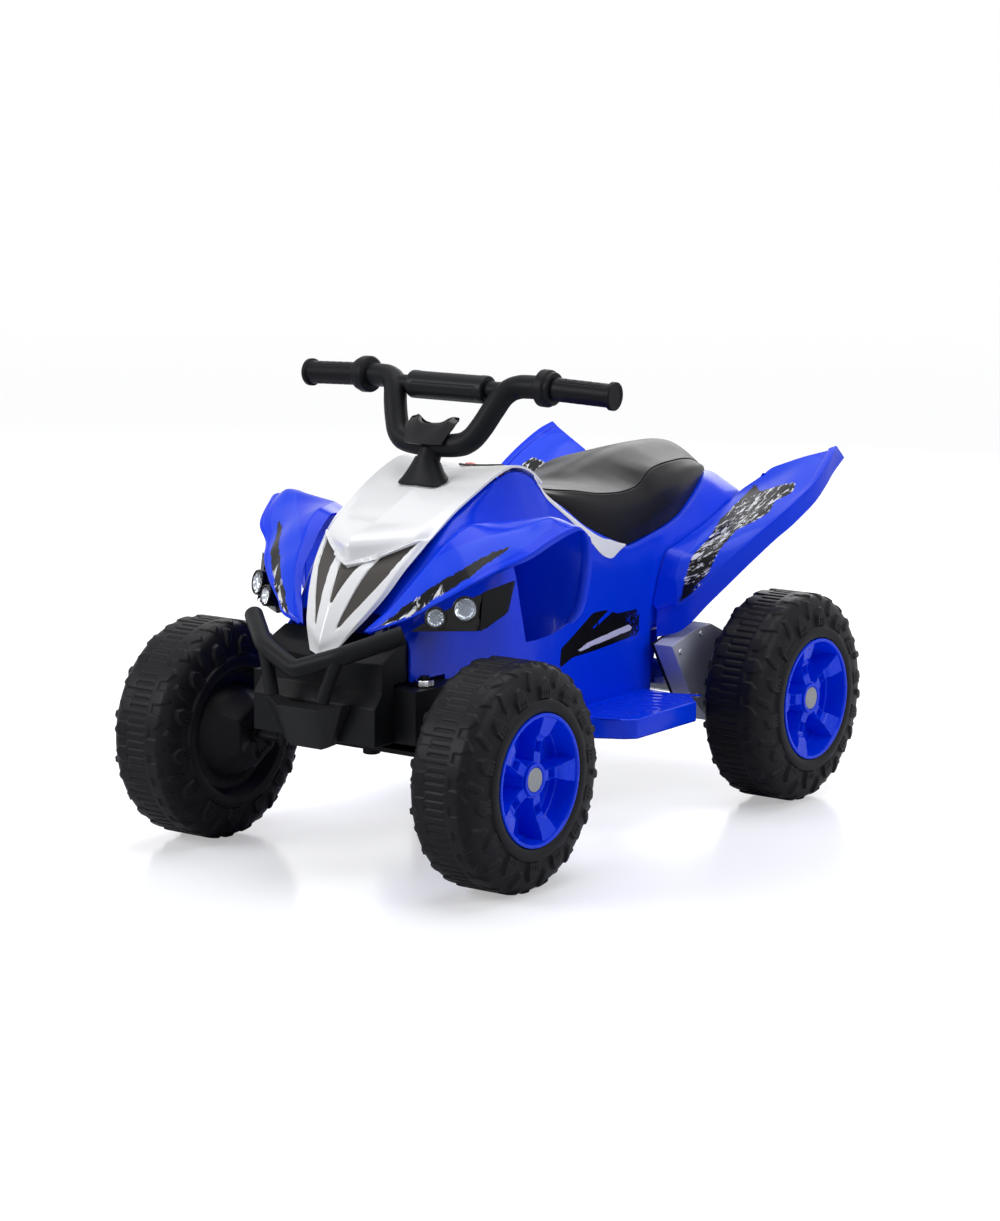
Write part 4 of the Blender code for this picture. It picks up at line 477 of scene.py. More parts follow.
def frame_on(axis):
    """An axis as a unit vector, with two directions square to it."""
    axis = np.asarray(axis, float) / np.linalg.norm(axis)
    helper = np.array([0.0, 0.0, 1.0]) if abs(axis[2]) < 0.9 else np.array([1.0, 0.0, 0.0])
    first = np.cross(axis, helper)
    first /= np.linalg.norm(first)
    return axis, first, np.cross(axis, first)


def about_axis(place, axis, along, radius, turn):
    """Points by their distance along an axis, their radius from it and their angle round it."""
    axis, first, second = frame_on(axis)
    ring = np.cos(turn)[..., None] * first + np.sin(turn)[..., None] * second
    return np.asarray(place, float) + along[..., None] * axis + radius[..., None] * ring


def full_turn(steps):
    """Even angles round a whole turn."""
    return np.arange(steps) * 2 * math.pi / steps


def revolve(name, profile, steps, place, axis, look, body, replaces=(), sharp=38.0):
    """A section of (along, radius) turned about an axis.  It starts and ends on the axis, at
    radius 0, or else it is a loop that closes on itself."""
    along, radius = np.asarray(profile, float).T
    turn = np.tile(full_turn(steps), (len(along), 1))
    points = about_axis(place, axis, along[:, None], radius[:, None], turn)
    tips = [row for row in (0, -1) if radius[row] == 0]
    faces = tipped_faces(len(along), steps, tips, closed_rows=not tips)
    return piece(name, points, faces, look, body, replaces, None, sharp)


def eased(profile, radius, closed=False):
    """A drawn section (along, radius) with its corners rounded."""
    points = np.asarray(profile, float)
    lifted = np.concatenate([points, np.zeros((len(points), 1))], 1)[None]
    return rounded(lifted, [radius] * len(points), 4, 1, closed)[0, :, :2]


def tube(name, line, radius, look, body, replaces=(), sides=28):
    """A round bar along a line of points: each ring stands square to the line and the ends are
    closed by three smaller rings."""
    line = np.asarray(line, float)
    radius = np.broadcast_to(np.asarray(radius, float), (len(line),)).copy()
    ahead = np.gradient(line, axis=0)
    ahead /= np.linalg.norm(ahead, axis=-1, keepdims=True)
    helper = np.array([0.0, 0.0, 1.0])
    if abs(ahead[0] @ helper) > 0.9:
        helper = np.array([0.0, 1.0, 0.0])
    first = np.cross(ahead, helper)
    first /= np.linalg.norm(first, axis=-1, keepdims=True)
    second = np.cross(ahead, first)
    turn = full_turn(sides)
    ring = (np.cos(turn)[None, :, None] * first[:, None]
            + np.sin(turn)[None, :, None] * second[:, None])
    body_rows = line[:, None] + ring * radius[:, None, None]
    ends = []
    for row, way in ((0, -1), (-1, 1)):
        bulge = 0.08 * np.sqrt(1 - TUBE_END_SHARES**2)
        ends.append(line[row] + ring[row][None] * radius[row] * TUBE_END_SHARES
                    + ahead[row] * way * radius[row] * bulge)
    rows = np.concatenate([ends[0][::-1], body_rows, ends[1]])
    faces = tipped_faces(len(rows), sides, (0, -1))
    return piece(name, rows, faces, look, body, replaces, sharp=TUBE_SHARP_ANGLE)


# %% [markdown]
# ## Shader groups
# Moulded plastic is never one flat colour: it has a fine grain or an orange peel from its mould,
# slight clouds in its gloss, and dust on the faces that look up.  One group holds these effects
# and every material sets its own values.  A second group breaks a printed sticker into streaks.


# %% The moulded skin group
def make_skin_group():
    """Clouds the colour and the gloss, lays dust on upward faces and raises a grain."""
    group, given, out = new_group(
        "moulded_skin",
        [("Color", COLOUR, (0.5, 0.5, 0.5, 1)), ("Color Clouds", FLOAT, 0.05),
         ("Roughness", FLOAT, 0.4), ("Gloss Clouds", FLOAT, 0.08), ("Grain Scale", FLOAT, 900.0),
         ("Grain Depth", FLOAT, 0.00003), ("Dust", FLOAT, 0.0)],
        [("Color", COLOUR), ("Roughness", FLOAT), ("Normal", VECTOR)])
    place = add(group, "ShaderNodeTexCoord").outputs["Object"]
    clouds = noise(group, place, 14.0, 3.0)
    swing = maths(group, "MULTIPLY", maths(group, "SUBTRACT", clouds, 0.5), given["Color Clouds"])
    bright = add(group, "ShaderNodeHueSaturation")
    feed(group, bright.inputs["Color"], given["Color"])
    feed(group, bright.inputs["Value"], maths(group, "MULTIPLY_ADD", swing, 2.0, 1.0))
    facing = add(group, "ShaderNodeSeparateXYZ")
    feed(group, facing.inputs[0], add(group, "ShaderNodeNewGeometry").outputs["Normal"])
    settled = maths(group, "MULTIPLY", ramp(group, facing.outputs["Z"], 0.35, 0.95),
                    ramp(group, noise(group, place, 38.0, 5.0, 0.65), 0.42, 0.72))
    dust = maths(group, "MULTIPLY", settled, given["Dust"])
    feed(group, out["Color"], tint(group, dust, bright.outputs[0], (0.42, 0.41, 0.40, 1)))
    haze = maths(group, "SUBTRACT", noise(group, place, 55.0, 4.0, 0.6), 0.5)
    rubbed = maths(group, "MULTIPLY_ADD", haze, given["Gloss Clouds"], given["Roughness"])
    feed(group, out["Roughness"], maths(group, "MULTIPLY_ADD", dust, 0.5, rubbed, True))
    grain = add(group, "ShaderNodeBump")
    feed(group, grain.inputs["Height"], noise(group, place, given["Grain Scale"], 2.0, 0.55))
    feed(group, grain.inputs["Distance"], given["Grain Depth"])
    feed(group, grain.inputs["Strength"], 1.0)
    feed(group, out["Normal"], grain.outputs[0])
    return group


INK_SOFTNESS = 0.02


def make_splash_group():
    """Torn ink: noise stretched along the sticker, cut at a level that its cover raises."""
    group, given, out = new_group(
        "torn_ink",
        [("Vector", VECTOR, None), ("Scale", FLOAT, 60.0), ("Cover", FLOAT, 0.5)],
        [("Mask", FLOAT)])
    coarse = noise(group, given["Vector"], given["Scale"], 6.0, 0.68, 0.6)
    level = maths(group, "SUBTRACT", 0.78, maths(group, "MULTIPLY", given["Cover"], 0.55))
    high = maths(group, "ADD", level, INK_SOFTNESS)
    feed(group, out["Mask"], ramp(group, coarse, level, high))
    return group


SKIN = make_skin_group()
INK = make_splash_group()
print("shader groups:", SKIN.name, INK.name)

# %% [markdown]
# ## Finishes
# The blue shell and the white cowl are glossy polypropylene, the bumper and the bar are the same
# plastic with a fine matt grain, and the tyres are dull polyethylene.  All start from one recipe.

# %% Plastics
BLUE = (0.0, 0.042, 0.84, 1.0)
PALE_BLUE = (0.012, 0.064, 0.86, 1.0)
WHITE = (0.88, 0.89, 0.91, 1.0)
INK_BLACK = (0.005, 0.005, 0.007, 1.0)
INK_GREY = (0.030, 0.029, 0.032, 1.0)
INK_WHITE = (0.82, 0.83, 0.86, 1.0)


def moulded(name, colour, rough, grain=900.0, depth=0.00003, clouds=0.05, gloss=0.08, dust=0.0,
            coat=0.0, metal=0.0, shine=0.5):
    """A plastic or metal with the moulded skin.  The colour may be a function that draws it, and
    shine sets how much an even surface mirrors."""
    made = bpy.data.materials.new(name)
    made.use_nodes = True
    tree = made.node_tree
    shader = tree.nodes["Principled BSDF"]
    skin_node = add(tree, "ShaderNodeGroup", node_tree=SKIN)
    feed(tree, skin_node.inputs["Color"], colour(tree) if callable(colour) else colour)
    for title, value in (("Color Clouds", clouds), ("Roughness", rough), ("Gloss Clouds", gloss),
                         ("Grain Scale", grain), ("Grain Depth", depth), ("Dust", dust)):
        skin_node.inputs[title].default_value = value
    tree.links.new(skin_node.outputs["Color"], shader.inputs["Base Color"])
    tree.links.new(skin_node.outputs["Roughness"], shader.inputs["Roughness"])
    tree.links.new(skin_node.outputs["Normal"], shader.inputs["Normal"])
    shader.inputs["Coat Weight"].default_value = coat
    shader.inputs["Coat Roughness"].default_value = 0.06
    shader.inputs["Metallic"].default_value = metal
    shader.inputs["Specular IOR Level"].default_value = shine
    return made


PEEL = dict(grain=140.0, depth=0.00006)
shell_blue = moulded("shell_blue", BLUE, 0.24, coat=0.10, shine=0.14, **PEEL)
cowl_white = moulded("cowl_white", WHITE, 0.22, coat=0.3, clouds=0.015, **PEEL)
insert_dark = moulded("insert_dark", (0.060, 0.054, 0.050, 1), 0.5, 1500.0, 0.00012, 0.10, 0.12,
                      shine=0.25)
frame_black = moulded("frame_black", (0.008, 0.0085, 0.010, 1), 0.42, 1400.0, 0.00009, 0.14,
                      0.12, dust=0.005, shine=0.10)
grip_black = moulded("grip_black", (0.006, 0.006, 0.008, 1), 0.40, 1700.0, 0.00006, 0.12, 0.1,
                     shine=0.10)
pad_black = moulded("pad_black", (0.008, 0.009, 0.011, 1), 0.34, 700.0, 0.00005, 0.14, 0.1,
                    shine=0.13)
gloss_black = moulded("gloss_black", (0.004, 0.004, 0.006, 1), 0.12, 160.0, 0.00004, 0.1, 0.06,
                      coat=0.14, shine=0.2)
wedge_grey = moulded("wedge_grey", (0.012, 0.0125, 0.014, 1), 0.38, 1500.0, 0.00006, 0.1, 0.1,
                     shine=0.12)
seat_black = moulded("seat_black", (0.007, 0.007, 0.009, 1), 0.34, 1300.0, 0.00008, 0.12, 0.10,
                     dust=0.005, shine=0.12)
tyre_black = moulded("tyre_black", (0.008, 0.008, 0.010, 1), 0.40, 1100.0, 0.00010, 0.16, 0.14,
                     dust=0.01, shine=0.11)
rim_blue = moulded("rim_blue", BLUE, 0.27, coat=0.12, shine=0.14, **PEEL)
cap_grey = moulded("cap_grey", (0.30, 0.31, 0.33, 1), 0.30, 700.0, 0.00005, 0.06, 0.1, metal=0.35)
gearbox_grey = moulded("gearbox_grey", (0.50, 0.51, 0.60, 1), 0.42, 800.0, 0.00006, 0.06, 0.1)
steel_bright = moulded("steel_bright", (0.62, 0.63, 0.66, 1), 0.28, 2200.0, 0.00003, 0.05, 0.14,
                       metal=1.0)
chrome = moulded("chrome", (0.46, 0.48, 0.52, 1), 0.08, 1200.0, 0.00001, 0.04, 0.05, metal=1.0)
gear_nylon = moulded("gear_nylon", (0.55, 0.54, 0.50, 1), 0.45, 900.0, 0.00005, 0.06, 0.1)
switch_red = moulded("switch_red", (0.62, 0.030, 0.018, 1), 0.30, 600.0, 0.00003, 0.05, 0.08,
                     coat=0.3)
battery_dark = moulded("battery_dark", (0.020, 0.022, 0.030, 1), 0.5, 1000.0, 0.00008, 0.08, 0.1,
                       shine=0.25)
print("materials so far:", len(bpy.data.materials))


# %% Lamp glass
def make_lens():
    """Clear plastic: faint clouds in its gloss, and its light passes straight through."""
    made = moulded("lens_clear", (0.92, 0.95, 0.98, 1), 0.03, 500.0, 0.000004, 0.02, 0.02)
    shader = made.node_tree.nodes["Principled BSDF"]
    shader.inputs["Transmission Weight"].default_value = 0.97
    shader.inputs["IOR"].default_value = 1.30
    return made


lens_clear = make_lens()

# %% [markdown]
# ## Printed stickers
# The fenders, wings and side panels carry stickers of torn ink in black, grey and white.  Here
# each is a generic splash.  Every point of the panel stores how far it lies inside the sticker,
# in millimetres, so the edge stays sharp, and how far along and across it lies.


# %% Sticker helpers
def polygon_depth(points, outline):
    """Signed depth of 2-D points inside a closed outline: the distance to the nearest side,
    positive inside and negative outside."""
    points = np.asarray(points, float)
    outline = np.asarray(outline, float)
    nearest = np.full(points.shape[:-1], np.inf)
    inside = np.zeros(points.shape[:-1], bool)
    for a, b in zip(outline, np.roll(outline, -1, 0)):
        side = b - a
        t = np.clip(((points - a) @ side) / (side @ side), 0, 1)
        nearest = np.minimum(nearest, np.linalg.norm(points - a - t[..., None] * side, axis=-1))
        crosses = (a[1] > points[..., 1]) != (b[1] > points[..., 1])
        run = a[0] + (points[..., 1] - a[1]) / (side[1] if side[1] else 1e-12) * side[0]
        inside ^= crosses & (points[..., 0] < run)
    return np.where(inside, nearest, -nearest)


def mark(thing, name, values):
    """Stores one number for each point of a piece, read by its material."""
    layer = thing.data.attributes.new(name, "FLOAT", "POINT")
    layer.data.foreach_set("value", np.ascontiguousarray(values, np.float32).ravel())


def stored(tree, name):
    """The number that each point of the piece stores under a name."""
    return add(tree, "ShaderNodeAttribute", attribute_name=name).outputs["Fac"]


def ink(tree, vector, scale, cover):
    """The torn ink's mask at a scale, more of it with more cover."""
    made = add(tree, "ShaderNodeGroup", node_tree=INK)
    for title, value in (("Vector", vector), ("Scale", scale), ("Cover", cover)):
        feed(tree, made.inputs[title], value)
    return made.outputs["Mask"]


EDGE_SOFTNESS = 0.15
TORN_EDGE = 9.0
FADE_LENGTH = 6.0


def sticker_colours(ground, ground_print, along_pull, white_from, white_to, black_share, seed):
    """Draws one sticker over the ground colour: a paler ground inside its outline, a torn
    dark streak, and white flecks on part of its length."""
    def draw(tree):
        inside = ramp(tree, stored(tree, "sticker"), -EDGE_SOFTNESS, EDGE_SOFTNESS)
        streak = stored(tree, "streak")
        along = stored(tree, "along")
        vector = add(tree, "ShaderNodeCombineXYZ")
        feed(tree, vector.inputs["X"], maths(tree, "MULTIPLY", along, along_pull))
        feed(tree, vector.inputs["Y"], stored(tree, "across"))
        feed(tree, vector.inputs["Z"], seed)
        rough_edge = maths(tree, "MULTIPLY_ADD",
                           maths(tree, "SUBTRACT", noise(tree, vector.outputs[0], 0.35, 5.0, 0.7),
                                 0.5), TORN_EDGE, streak)
        dark = ramp(tree, rough_edge, 0.0, 0.35)
        fade_out = ramp(tree, along, white_to - FADE_LENGTH, white_to)
        stretch = maths(tree, "MULTIPLY", ramp(tree, along, white_from, white_from + FADE_LENGTH),
                        maths(tree, "SUBTRACT", 1.0, fade_out))
        flecks = maths(tree, "MULTIPLY", ink(tree, vector.outputs[0], 0.17, 0.44), stretch)
        deep = ink(tree, vector.outputs[0], 0.10, black_share)
        colour = tint(tree, inside, ground, ground_print)
        body = tint(tree, deep, INK_GREY, INK_BLACK)
        body = tint(tree, flecks, body, INK_WHITE)
        return tint(tree, maths(tree, "MULTIPLY", dark, inside), colour, body)
    return draw


fender_print = moulded("fender_print",
                       sticker_colours(BLUE, PALE_BLUE, 0.35, 20.0, 96.0, 0.75, 3.0),
                       0.25, coat=0.10, shine=0.14, **PEEL)
wing_print = moulded("wing_print",
                     sticker_colours(BLUE, PALE_BLUE, 0.45, 50.0, 275.0, 0.80, 8.0),
                     0.25, coat=0.10, shine=0.14, **PEEL)
print("sticker finishes ready")

# %% [markdown]
# ## Tyres
# On the real quad each wheel is one hollow plastic moulding that plays the part of a tyre: fine
# ribs round its crown, a plain strip beside them, pointed tongues, and slanted lugs and blocks on
# its shoulders.  Here the section is swept round the axle and a height is added for each pattern,
# so one grid of points holds the whole tread.  The pattern repeats, so a few outlines suffice.

# %% Tread section and patterns, in millimetres
TREAD_SIDE = [(0, 111.7), (12, 111.7), (23, 111.6), (28, 110.3), (32.5, 106.5), (36.2, 99),
              (38.0, 92), (38.9, 86), (39.3, 80.5)]
TREAD_STEPS = 840
TREAD_SAMPLES = 44
SIDE_SHIFT, SHORT_SHIFT, LUG_SHIFT, BLOCK_SHIFT = 0.27, 0.5, 0.22, 0.72
SLIT_DEPTH = 1.1
RIB_COUNT, TONGUE_COUNT, LUG_COUNT = 84, 14, 14
CROWN_LENGTH = 2 * math.pi * 112.0
RIB_HEIGHT, STRIP_HEIGHT, TONGUE_HEIGHT, LUG_HEIGHT = 1.25, 1.2, 1.7, 3.0
RIB_HALF_WIDTH = 2.75
RADIUS_LIMIT = 112.98
RIB_BAND = (-12.0, 10.2)
STRIP_BAND = (11.0, 16.0)
LONG_TONGUE = [(-7.6, 0), (7.6, 0), (7.6, 10), (2.6, 19.5), (-7.6, 11.5)]
SHORT_TONGUE = [(-7.6, 0), (7.6, 0), (7.6, 9.5), (-2.0, 15.5), (-7.6, 10.5)]
MID_LUG = [(-7.0, 35.5), (-1.0, 33.0), (6.5, 47.0), (5.0, 52.5), (-1.0, 51.5)]
SHOULDER_BLOCK = [(-9.5, 49.5), (-4.5, 43.0), (3.0, 44.0), (10.0, 50.5), (10.5, 63), (-10.5, 63)]
BLOCK_SLITS = (-5.0, 0.0, 5.0)
INNER_SECTION = [(-40.9, 66.2, 0), (-31, 61.5, 0), (-30, 60, 0), (-30, 51, 0), (-31, 49.6, 0),
                 (-42, 44, 0), (-43, 43.3, 0.1), (-58.5, 35.6, 0.9), (-61, 33.6, 1),
                 (-63.4, 31.6, 1), (-64, 30.6, 1), (-64, 24, 1), (-62.8, 22.6, 0.6),
                 (-62.8, 5.6, 0)]
OUTER_SECTION = [(8, 5.6, 0), (8, 60, 0), (30, 64.2, 0), (40.6, 66.1, 0), (41.6, 66.8, 0),
                 (42.2, 68.2, 0), (42.3, 73, 0), (42.2, 77.6, 0), (41.6, 78.6, 0),
                 (40.2, 79.0, 0)]


def repeated(around, count):
    """Distance round the crown from the nearest copy of a pattern."""
    period = CROWN_LENGTH / count
    return (around + period / 2) % period - period / 2


def lift(depth, soft):
    """A raised pad's height share from its depth inside its outline."""
    return smooth_step(depth, -soft / 2, soft / 2)


def tread_relief(around, along, strip_side):
    """Height of the tread at a distance round the crown and along the section, as the highest
    of the ribs, the strip, the tongues, the slender lugs and the shoulder blocks."""
    across = along * strip_side
    reach = np.abs(along)
    rib = np.minimum(RIB_HALF_WIDTH - np.abs(repeated(around, RIB_COUNT)),
                     np.minimum(across - RIB_BAND[0], RIB_BAND[1] - across))
    strip = np.minimum(across - STRIP_BAND[0], STRIP_BAND[1] - across)
    height = np.maximum(RIB_HEIGHT * lift(rib, 1.3), STRIP_HEIGHT * lift(strip, 1.0))
    base = np.where(across > 0, STRIP_BAND[1] - 1.0, -RIB_BAND[0] + 0.8)
    side_shift = np.where(across > 0, 0.0, SIDE_SHIFT)
    for outline, shift in ((LONG_TONGUE, 0.0), (SHORT_TONGUE, SHORT_SHIFT)):
        spot = repeated(around + (shift + side_shift) * CROWN_LENGTH / TONGUE_COUNT, TONGUE_COUNT)
        depth = polygon_depth(np.stack([spot, reach - base], -1), outline)
        height = np.maximum(height, TONGUE_HEIGHT * lift(depth, 1.3))
    lugs = repeated(around + (LUG_SHIFT + side_shift) * CROWN_LENGTH / LUG_COUNT, LUG_COUNT)
    depth = polygon_depth(np.stack([lugs, reach], -1), MID_LUG)
    height = np.maximum(height, LUG_HEIGHT * 0.85 * lift(depth, 1.9))
    blocks = repeated(around + (BLOCK_SHIFT + side_shift) * CROWN_LENGTH / LUG_COUNT, LUG_COUNT)
    depth = polygon_depth(np.stack([blocks, reach], -1), SHOULDER_BLOCK)
    block = LUG_HEIGHT * lift(depth, 1.9)
    for slit in BLOCK_SLITS:
        cut = np.minimum(1.0 - np.abs(blocks - slit), np.minimum(reach - 54.5, 60.0 - reach))
        block = block - SLIT_DEPTH * lift(cut, 0.9)
    return np.maximum(height, block)


# %% Sweep the tyres
def tread_line():
    """Even samples of the tread's section with their outward normals."""
    side = through(np.array(TREAD_SIDE, float), 8)
    run = np.concatenate([[0], np.cumsum(np.linalg.norm(np.diff(side, axis=0), axis=1))])
    even = np.linspace(0, run[-1], TREAD_SAMPLES)
    half = np.stack([np.interp(even, run, side[:, 0]), np.interp(even, run, side[:, 1])], 1)
    full = np.concatenate([half[::-1], (half * [-1, 1])[1:]])
    along = np.concatenate([even[::-1], -even[1:]])
    slope = np.gradient(full, axis=0)
    normal = np.stack([-slope[:, 1], slope[:, 0]], 1)
    normal /= np.linalg.norm(normal, axis=1, keepdims=True)
    outwards = np.sign((normal * (full - [0, 60])).sum(1))
    return full, along, normal * outwards[:, None]


def hexagon(turn):
    """Share of its corner radius that a rounded hexagon has at each angle."""
    fold = (turn + math.pi / 6) % (math.pi / 3) - math.pi / 6
    return np.minimum(math.cos(math.pi / 6) / np.cos(fold) * 1.02, 0.985)


def make_tyre(word, centre, outward):
    """The tread between the outer and the inner side.  The third number in their sections says
    how far a ring is drawn towards a hexagon."""
    line, along, normal = tread_line()
    turn = full_turn(TREAD_STEPS)
    around = turn * CROWN_LENGTH / (2 * math.pi)
    a, s = np.meshgrid(around, along, indexing="xy")
    height = tread_relief(a, s, outward)
    place = line[:, None, :] + normal[:, None, :] * height[..., None]
    place[..., 1] = np.minimum(place[..., 1], RADIUS_LIMIT)
    hexed = hexagon(turn)

    def plain(section):
        rows = np.array(section, float)
        factor = 1 + rows[:, 2, None] * (hexed[None] - 1)
        return np.stack([np.repeat(rows[:, 0, None], TREAD_STEPS, 1), rows[:, 1, None] * factor],
                        -1)

    rim_ring = [(-x, r, 0) for x, r, _ in reversed(OUTER_SECTION[4:])]
    rows = np.concatenate([plain(OUTER_SECTION), place, plain(rim_ring), plain(INNER_SECTION)])
    points = np.empty(rows.shape[:2] + (3,))
    points[..., 0] = rows[..., 0] * outward
    points[..., 1] = rows[..., 1] * np.cos(turn)
    points[..., 2] = rows[..., 1] * np.sin(turn)
    faces = grid_faces(rows.shape[0], TREAD_STEPS, closed_rows=True, closed_columns=True)
    return piece(f"tyre_tread_{word}", points * MM + centre, faces, tyre_black, f"wheel_{word}",
                 [f"tyre_{word}"], sharp=60)


WHEELS = {
    "front_left": (FRONT_AXLE + [HALF_FRONT_TRACK, 0, 0], 1, 0.0),
    "front_right": (FRONT_AXLE - [HALF_FRONT_TRACK, 0, 0], -1, 0.6),
    "rear_left": (REAR_AXLE + [HALF_REAR_TRACK, 0, 0], 1, 0.55),
    "rear_right": (REAR_AXLE - [HALF_REAR_TRACK, 0, 0], -1, 0.2),
}
for word, (centre, outward, _) in WHEELS.items():
    tyre = make_tyre(word, centre, outward)
print("points in a tyre:", len(tyre.data.vertices))

# %% [markdown]
# ## Rims
# A blue dish is pressed into each wheel: a round lip, a deep barrel and five spokes that widen
# into flat pads at the rim and hold a small pocket near the hub.  The dish is a height over a
# polar grid: the floor's level and the spoke's level are mixed by a mask that is 1 on the spokes.

# %% Rim shape
RIM_TURNS = 600
SPOKES = 5
LIP_LEVEL, FLOOR_LEVEL, HUB_LEVEL, RIM_BACK = 42.6, 12.5, 33.5, 8.6
BARREL = [(61.6, 41.2), (61.3, 39), (60.9, 34), (60.2, 27), (59.4, 20.5), (58.6, 19.6),
          (57.6, 19.4), (57.0, 14.5), (56.0, 12.9), (54, 12.6)]
POCKET_RADII = (28.0, 37.0)
POCKET_DEPTH = 7.0
GROOVE_RADIUS, GROOVE_HALF_WIDTH = 41.5, 1.1
HUB_RADIUS = 18.6
SPOKE_RADII = (16.5, 20, 26, 30, 38, 42, 46, 54, 62)
SPOKE_WIDTHS = (5.2, 6.4, 6.3, 6.0, 6.0, 6.9, 8.6, 10.4, 12.4)
SPOKE_LEVELS = (34.0, 33.2, 32.2, 31.8, 32.0, 33.4, 36.0, 38.2, 40.2)


def rim_level(radius, turn, floor):
    """Level of the dish's face: the floor, raised to the spoke's level where the distance from
    the nearest spoke's middle line is less than the spoke's half width."""
    step = 2 * math.pi / SPOKES
    swing = (turn + step / 2) % step - step / 2
    aside = np.abs(radius * np.sin(swing))
    width = np.interp(radius, SPOKE_RADII, SPOKE_WIDTHS)
    level = np.interp(radius, SPOKE_RADII, SPOKE_LEVELS)
    pocket = np.minimum(radius - POCKET_RADII[0], POCKET_RADII[1] - radius)
    pocket = np.minimum(pocket, width - 1.8 - aside)
    level = level - POCKET_DEPTH * lift(pocket, 1.2)
    level = level - lift(GROOVE_HALF_WIDTH - np.abs(radius - GROOVE_RADIUS), 1.0)
    on_spoke = lift(width - aside, 1.5)
    hub = lift(HUB_RADIUS - radius, 1.2)
    return np.maximum(floor + (level - floor) * on_spoke, floor + (HUB_LEVEL - floor) * hub)


def make_rim(word, centre, outward, turn_by):
    """The dish between its lip and its back, turned so that no two wheels stand alike."""
    turn = full_turn(RIM_TURNS)
    barrel = through(np.array(BARREL, float), 2)
    inner = np.concatenate([np.arange(53, 44, -1.5), np.arange(44, 17, -1.0), [16.6, 15.6]])
    radius = np.concatenate([barrel[:, 0], inner])
    floor = np.concatenate([barrel[:, 1], np.full(len(inner), FLOOR_LEVEL)])
    r, t = np.meshgrid(radius, turn, indexing="ij")
    level = rim_level(r, t, floor[:, None])
    face = np.stack([level, r], -1)

    def ring(values):
        return np.repeat(np.array(values, float)[:, None], RIM_TURNS, 1)

    lip = ring([(LIP_LEVEL - 1.2, 65.6), (LIP_LEVEL - 0.3, 65.3), (LIP_LEVEL, 64.6),
                (LIP_LEVEL, 62.9), (LIP_LEVEL - 0.3, 62.2)])
    back = ring([(HUB_LEVEL, 12.8), (HUB_LEVEL - 0.6, 12.5), (RIM_BACK, 12.5), (RIM_BACK, 58.8),
                 (30, 63.2), (39.5, 65.2)])
    rows = np.concatenate([lip, face, back])
    around = turn + turn_by
    points = np.stack([rows[..., 0] * outward, rows[..., 1] * np.cos(around),
                       rows[..., 1] * np.sin(around)], -1)
    faces = grid_faces(len(rows), RIM_TURNS, closed_rows=True, closed_columns=True)
    piece(f"rim_dish_{word}", points * MM + centre, faces, rim_blue, f"wheel_{word}",
          [f"rim_{word}"], sharp=32)


CAP_SECTION = [(25.6, 0), (25.6, 12.0), (33.7, 12.0), (33.8, 15.6), (34.4, 16.4), (35.6, 16.5),
               (36.4, 16.0), (36.5, 15.0), (36.2, 13.2), (35.0, 12.2), (34.9, 0)]
DISC_SECTION = [(34.6, 0), (34.6, 11.6), (35.4, 12.0), (35.9, 11.4), (36.1, 9.6), (36.3, 5),
                (36.4, 0)]
for word, (centre, outward, turn_by) in WHEELS.items():
    make_rim(word, centre, outward, turn_by)
    along_axle = (outward, 0, 0)
    revolve(f"cap_ring_{word}", np.array(CAP_SECTION) * MM, 72, centre, along_axle, rim_blue,
            f"wheel_{word}", [f"hub_cap_{word}"])
    revolve(f"cap_disc_{word}", eased(np.array(DISC_SECTION) * MM, 0.0004), 72, centre,
            along_axle, cap_grey, f"wheel_{word}")
print("rims and caps:", 3 * len(WHEELS))

# %% [markdown]
# ## Fenders and wings
# The front fenders are thin shells that rise from a point at the nose, and the rear ones are
# dished wings with a deep outer wall.  Each is drawn as rows of five points.  A rim is stepped
# along the outer edge, a curve runs through the rows, the corners across each row are rounded,
# and the sheet gets its wall.

# %% Panel tables
FENDER_ROWS = [
    [(38, -30, 128), (40, -30, 129), (42, -30.5, 129), (44, -30, 127.5), (43, -26, 126)],
    [(48, -19, 141), (52, -21, 142), (56, -27, 138), (60, -32, 133), (57, -27, 131.5)],
    [(58, -8, 153), (64, -11, 158), (75, -14, 155), (86, -13, 144.5), (82, -8, 143)],
    [(69, 10, 178), (78, 8, 183), (91, 2, 174), (102, -4, 155.5), (98, 2, 154)],
    [(73.5, 29, 194), (84, 27, 201), (102, 19, 188), (118, 8, 166.5), (114, 14, 165)],
    [(77.5, 47, 209.5), (91, 46, 217), (113, 37, 203), (133, 22, 178), (129, 28, 176)],
    [(82, 72, 222.5), (97, 71, 228), (124, 59, 216), (148, 43, 190), (145, 49, 187)],
    [(85.4, 95, 219.5), (104, 94, 228.5), (148, 84, 227), (171, 61, 205), (170, 67, 201)],
    [(87.0, 110, 218.5), (109, 110, 228), (169, 103, 238), (185, 92, 222), (183, 97, 217)],
    [(87.7, 120, 214), (116, 118, 221), (165, 115, 236), (192, 112, 229), (192, 116, 225)],
    [(88.2, 130, 207), (122, 129, 211), (165, 130, 226), (190, 131, 219), (190, 135, 217)],
    [(100, 138, 174), (124, 139, 174), (160, 141, 177), (182, 144, 180), (183, 148, 178)],
    [(112, 134, 130), (130, 135, 132), (156, 136, 136), (177, 139, 142), (178, 143, 142)],
    [(122, 128, 104), (136, 128, 108), (154, 130, 116), (170, 133, 128), (171, 137, 130)],
]
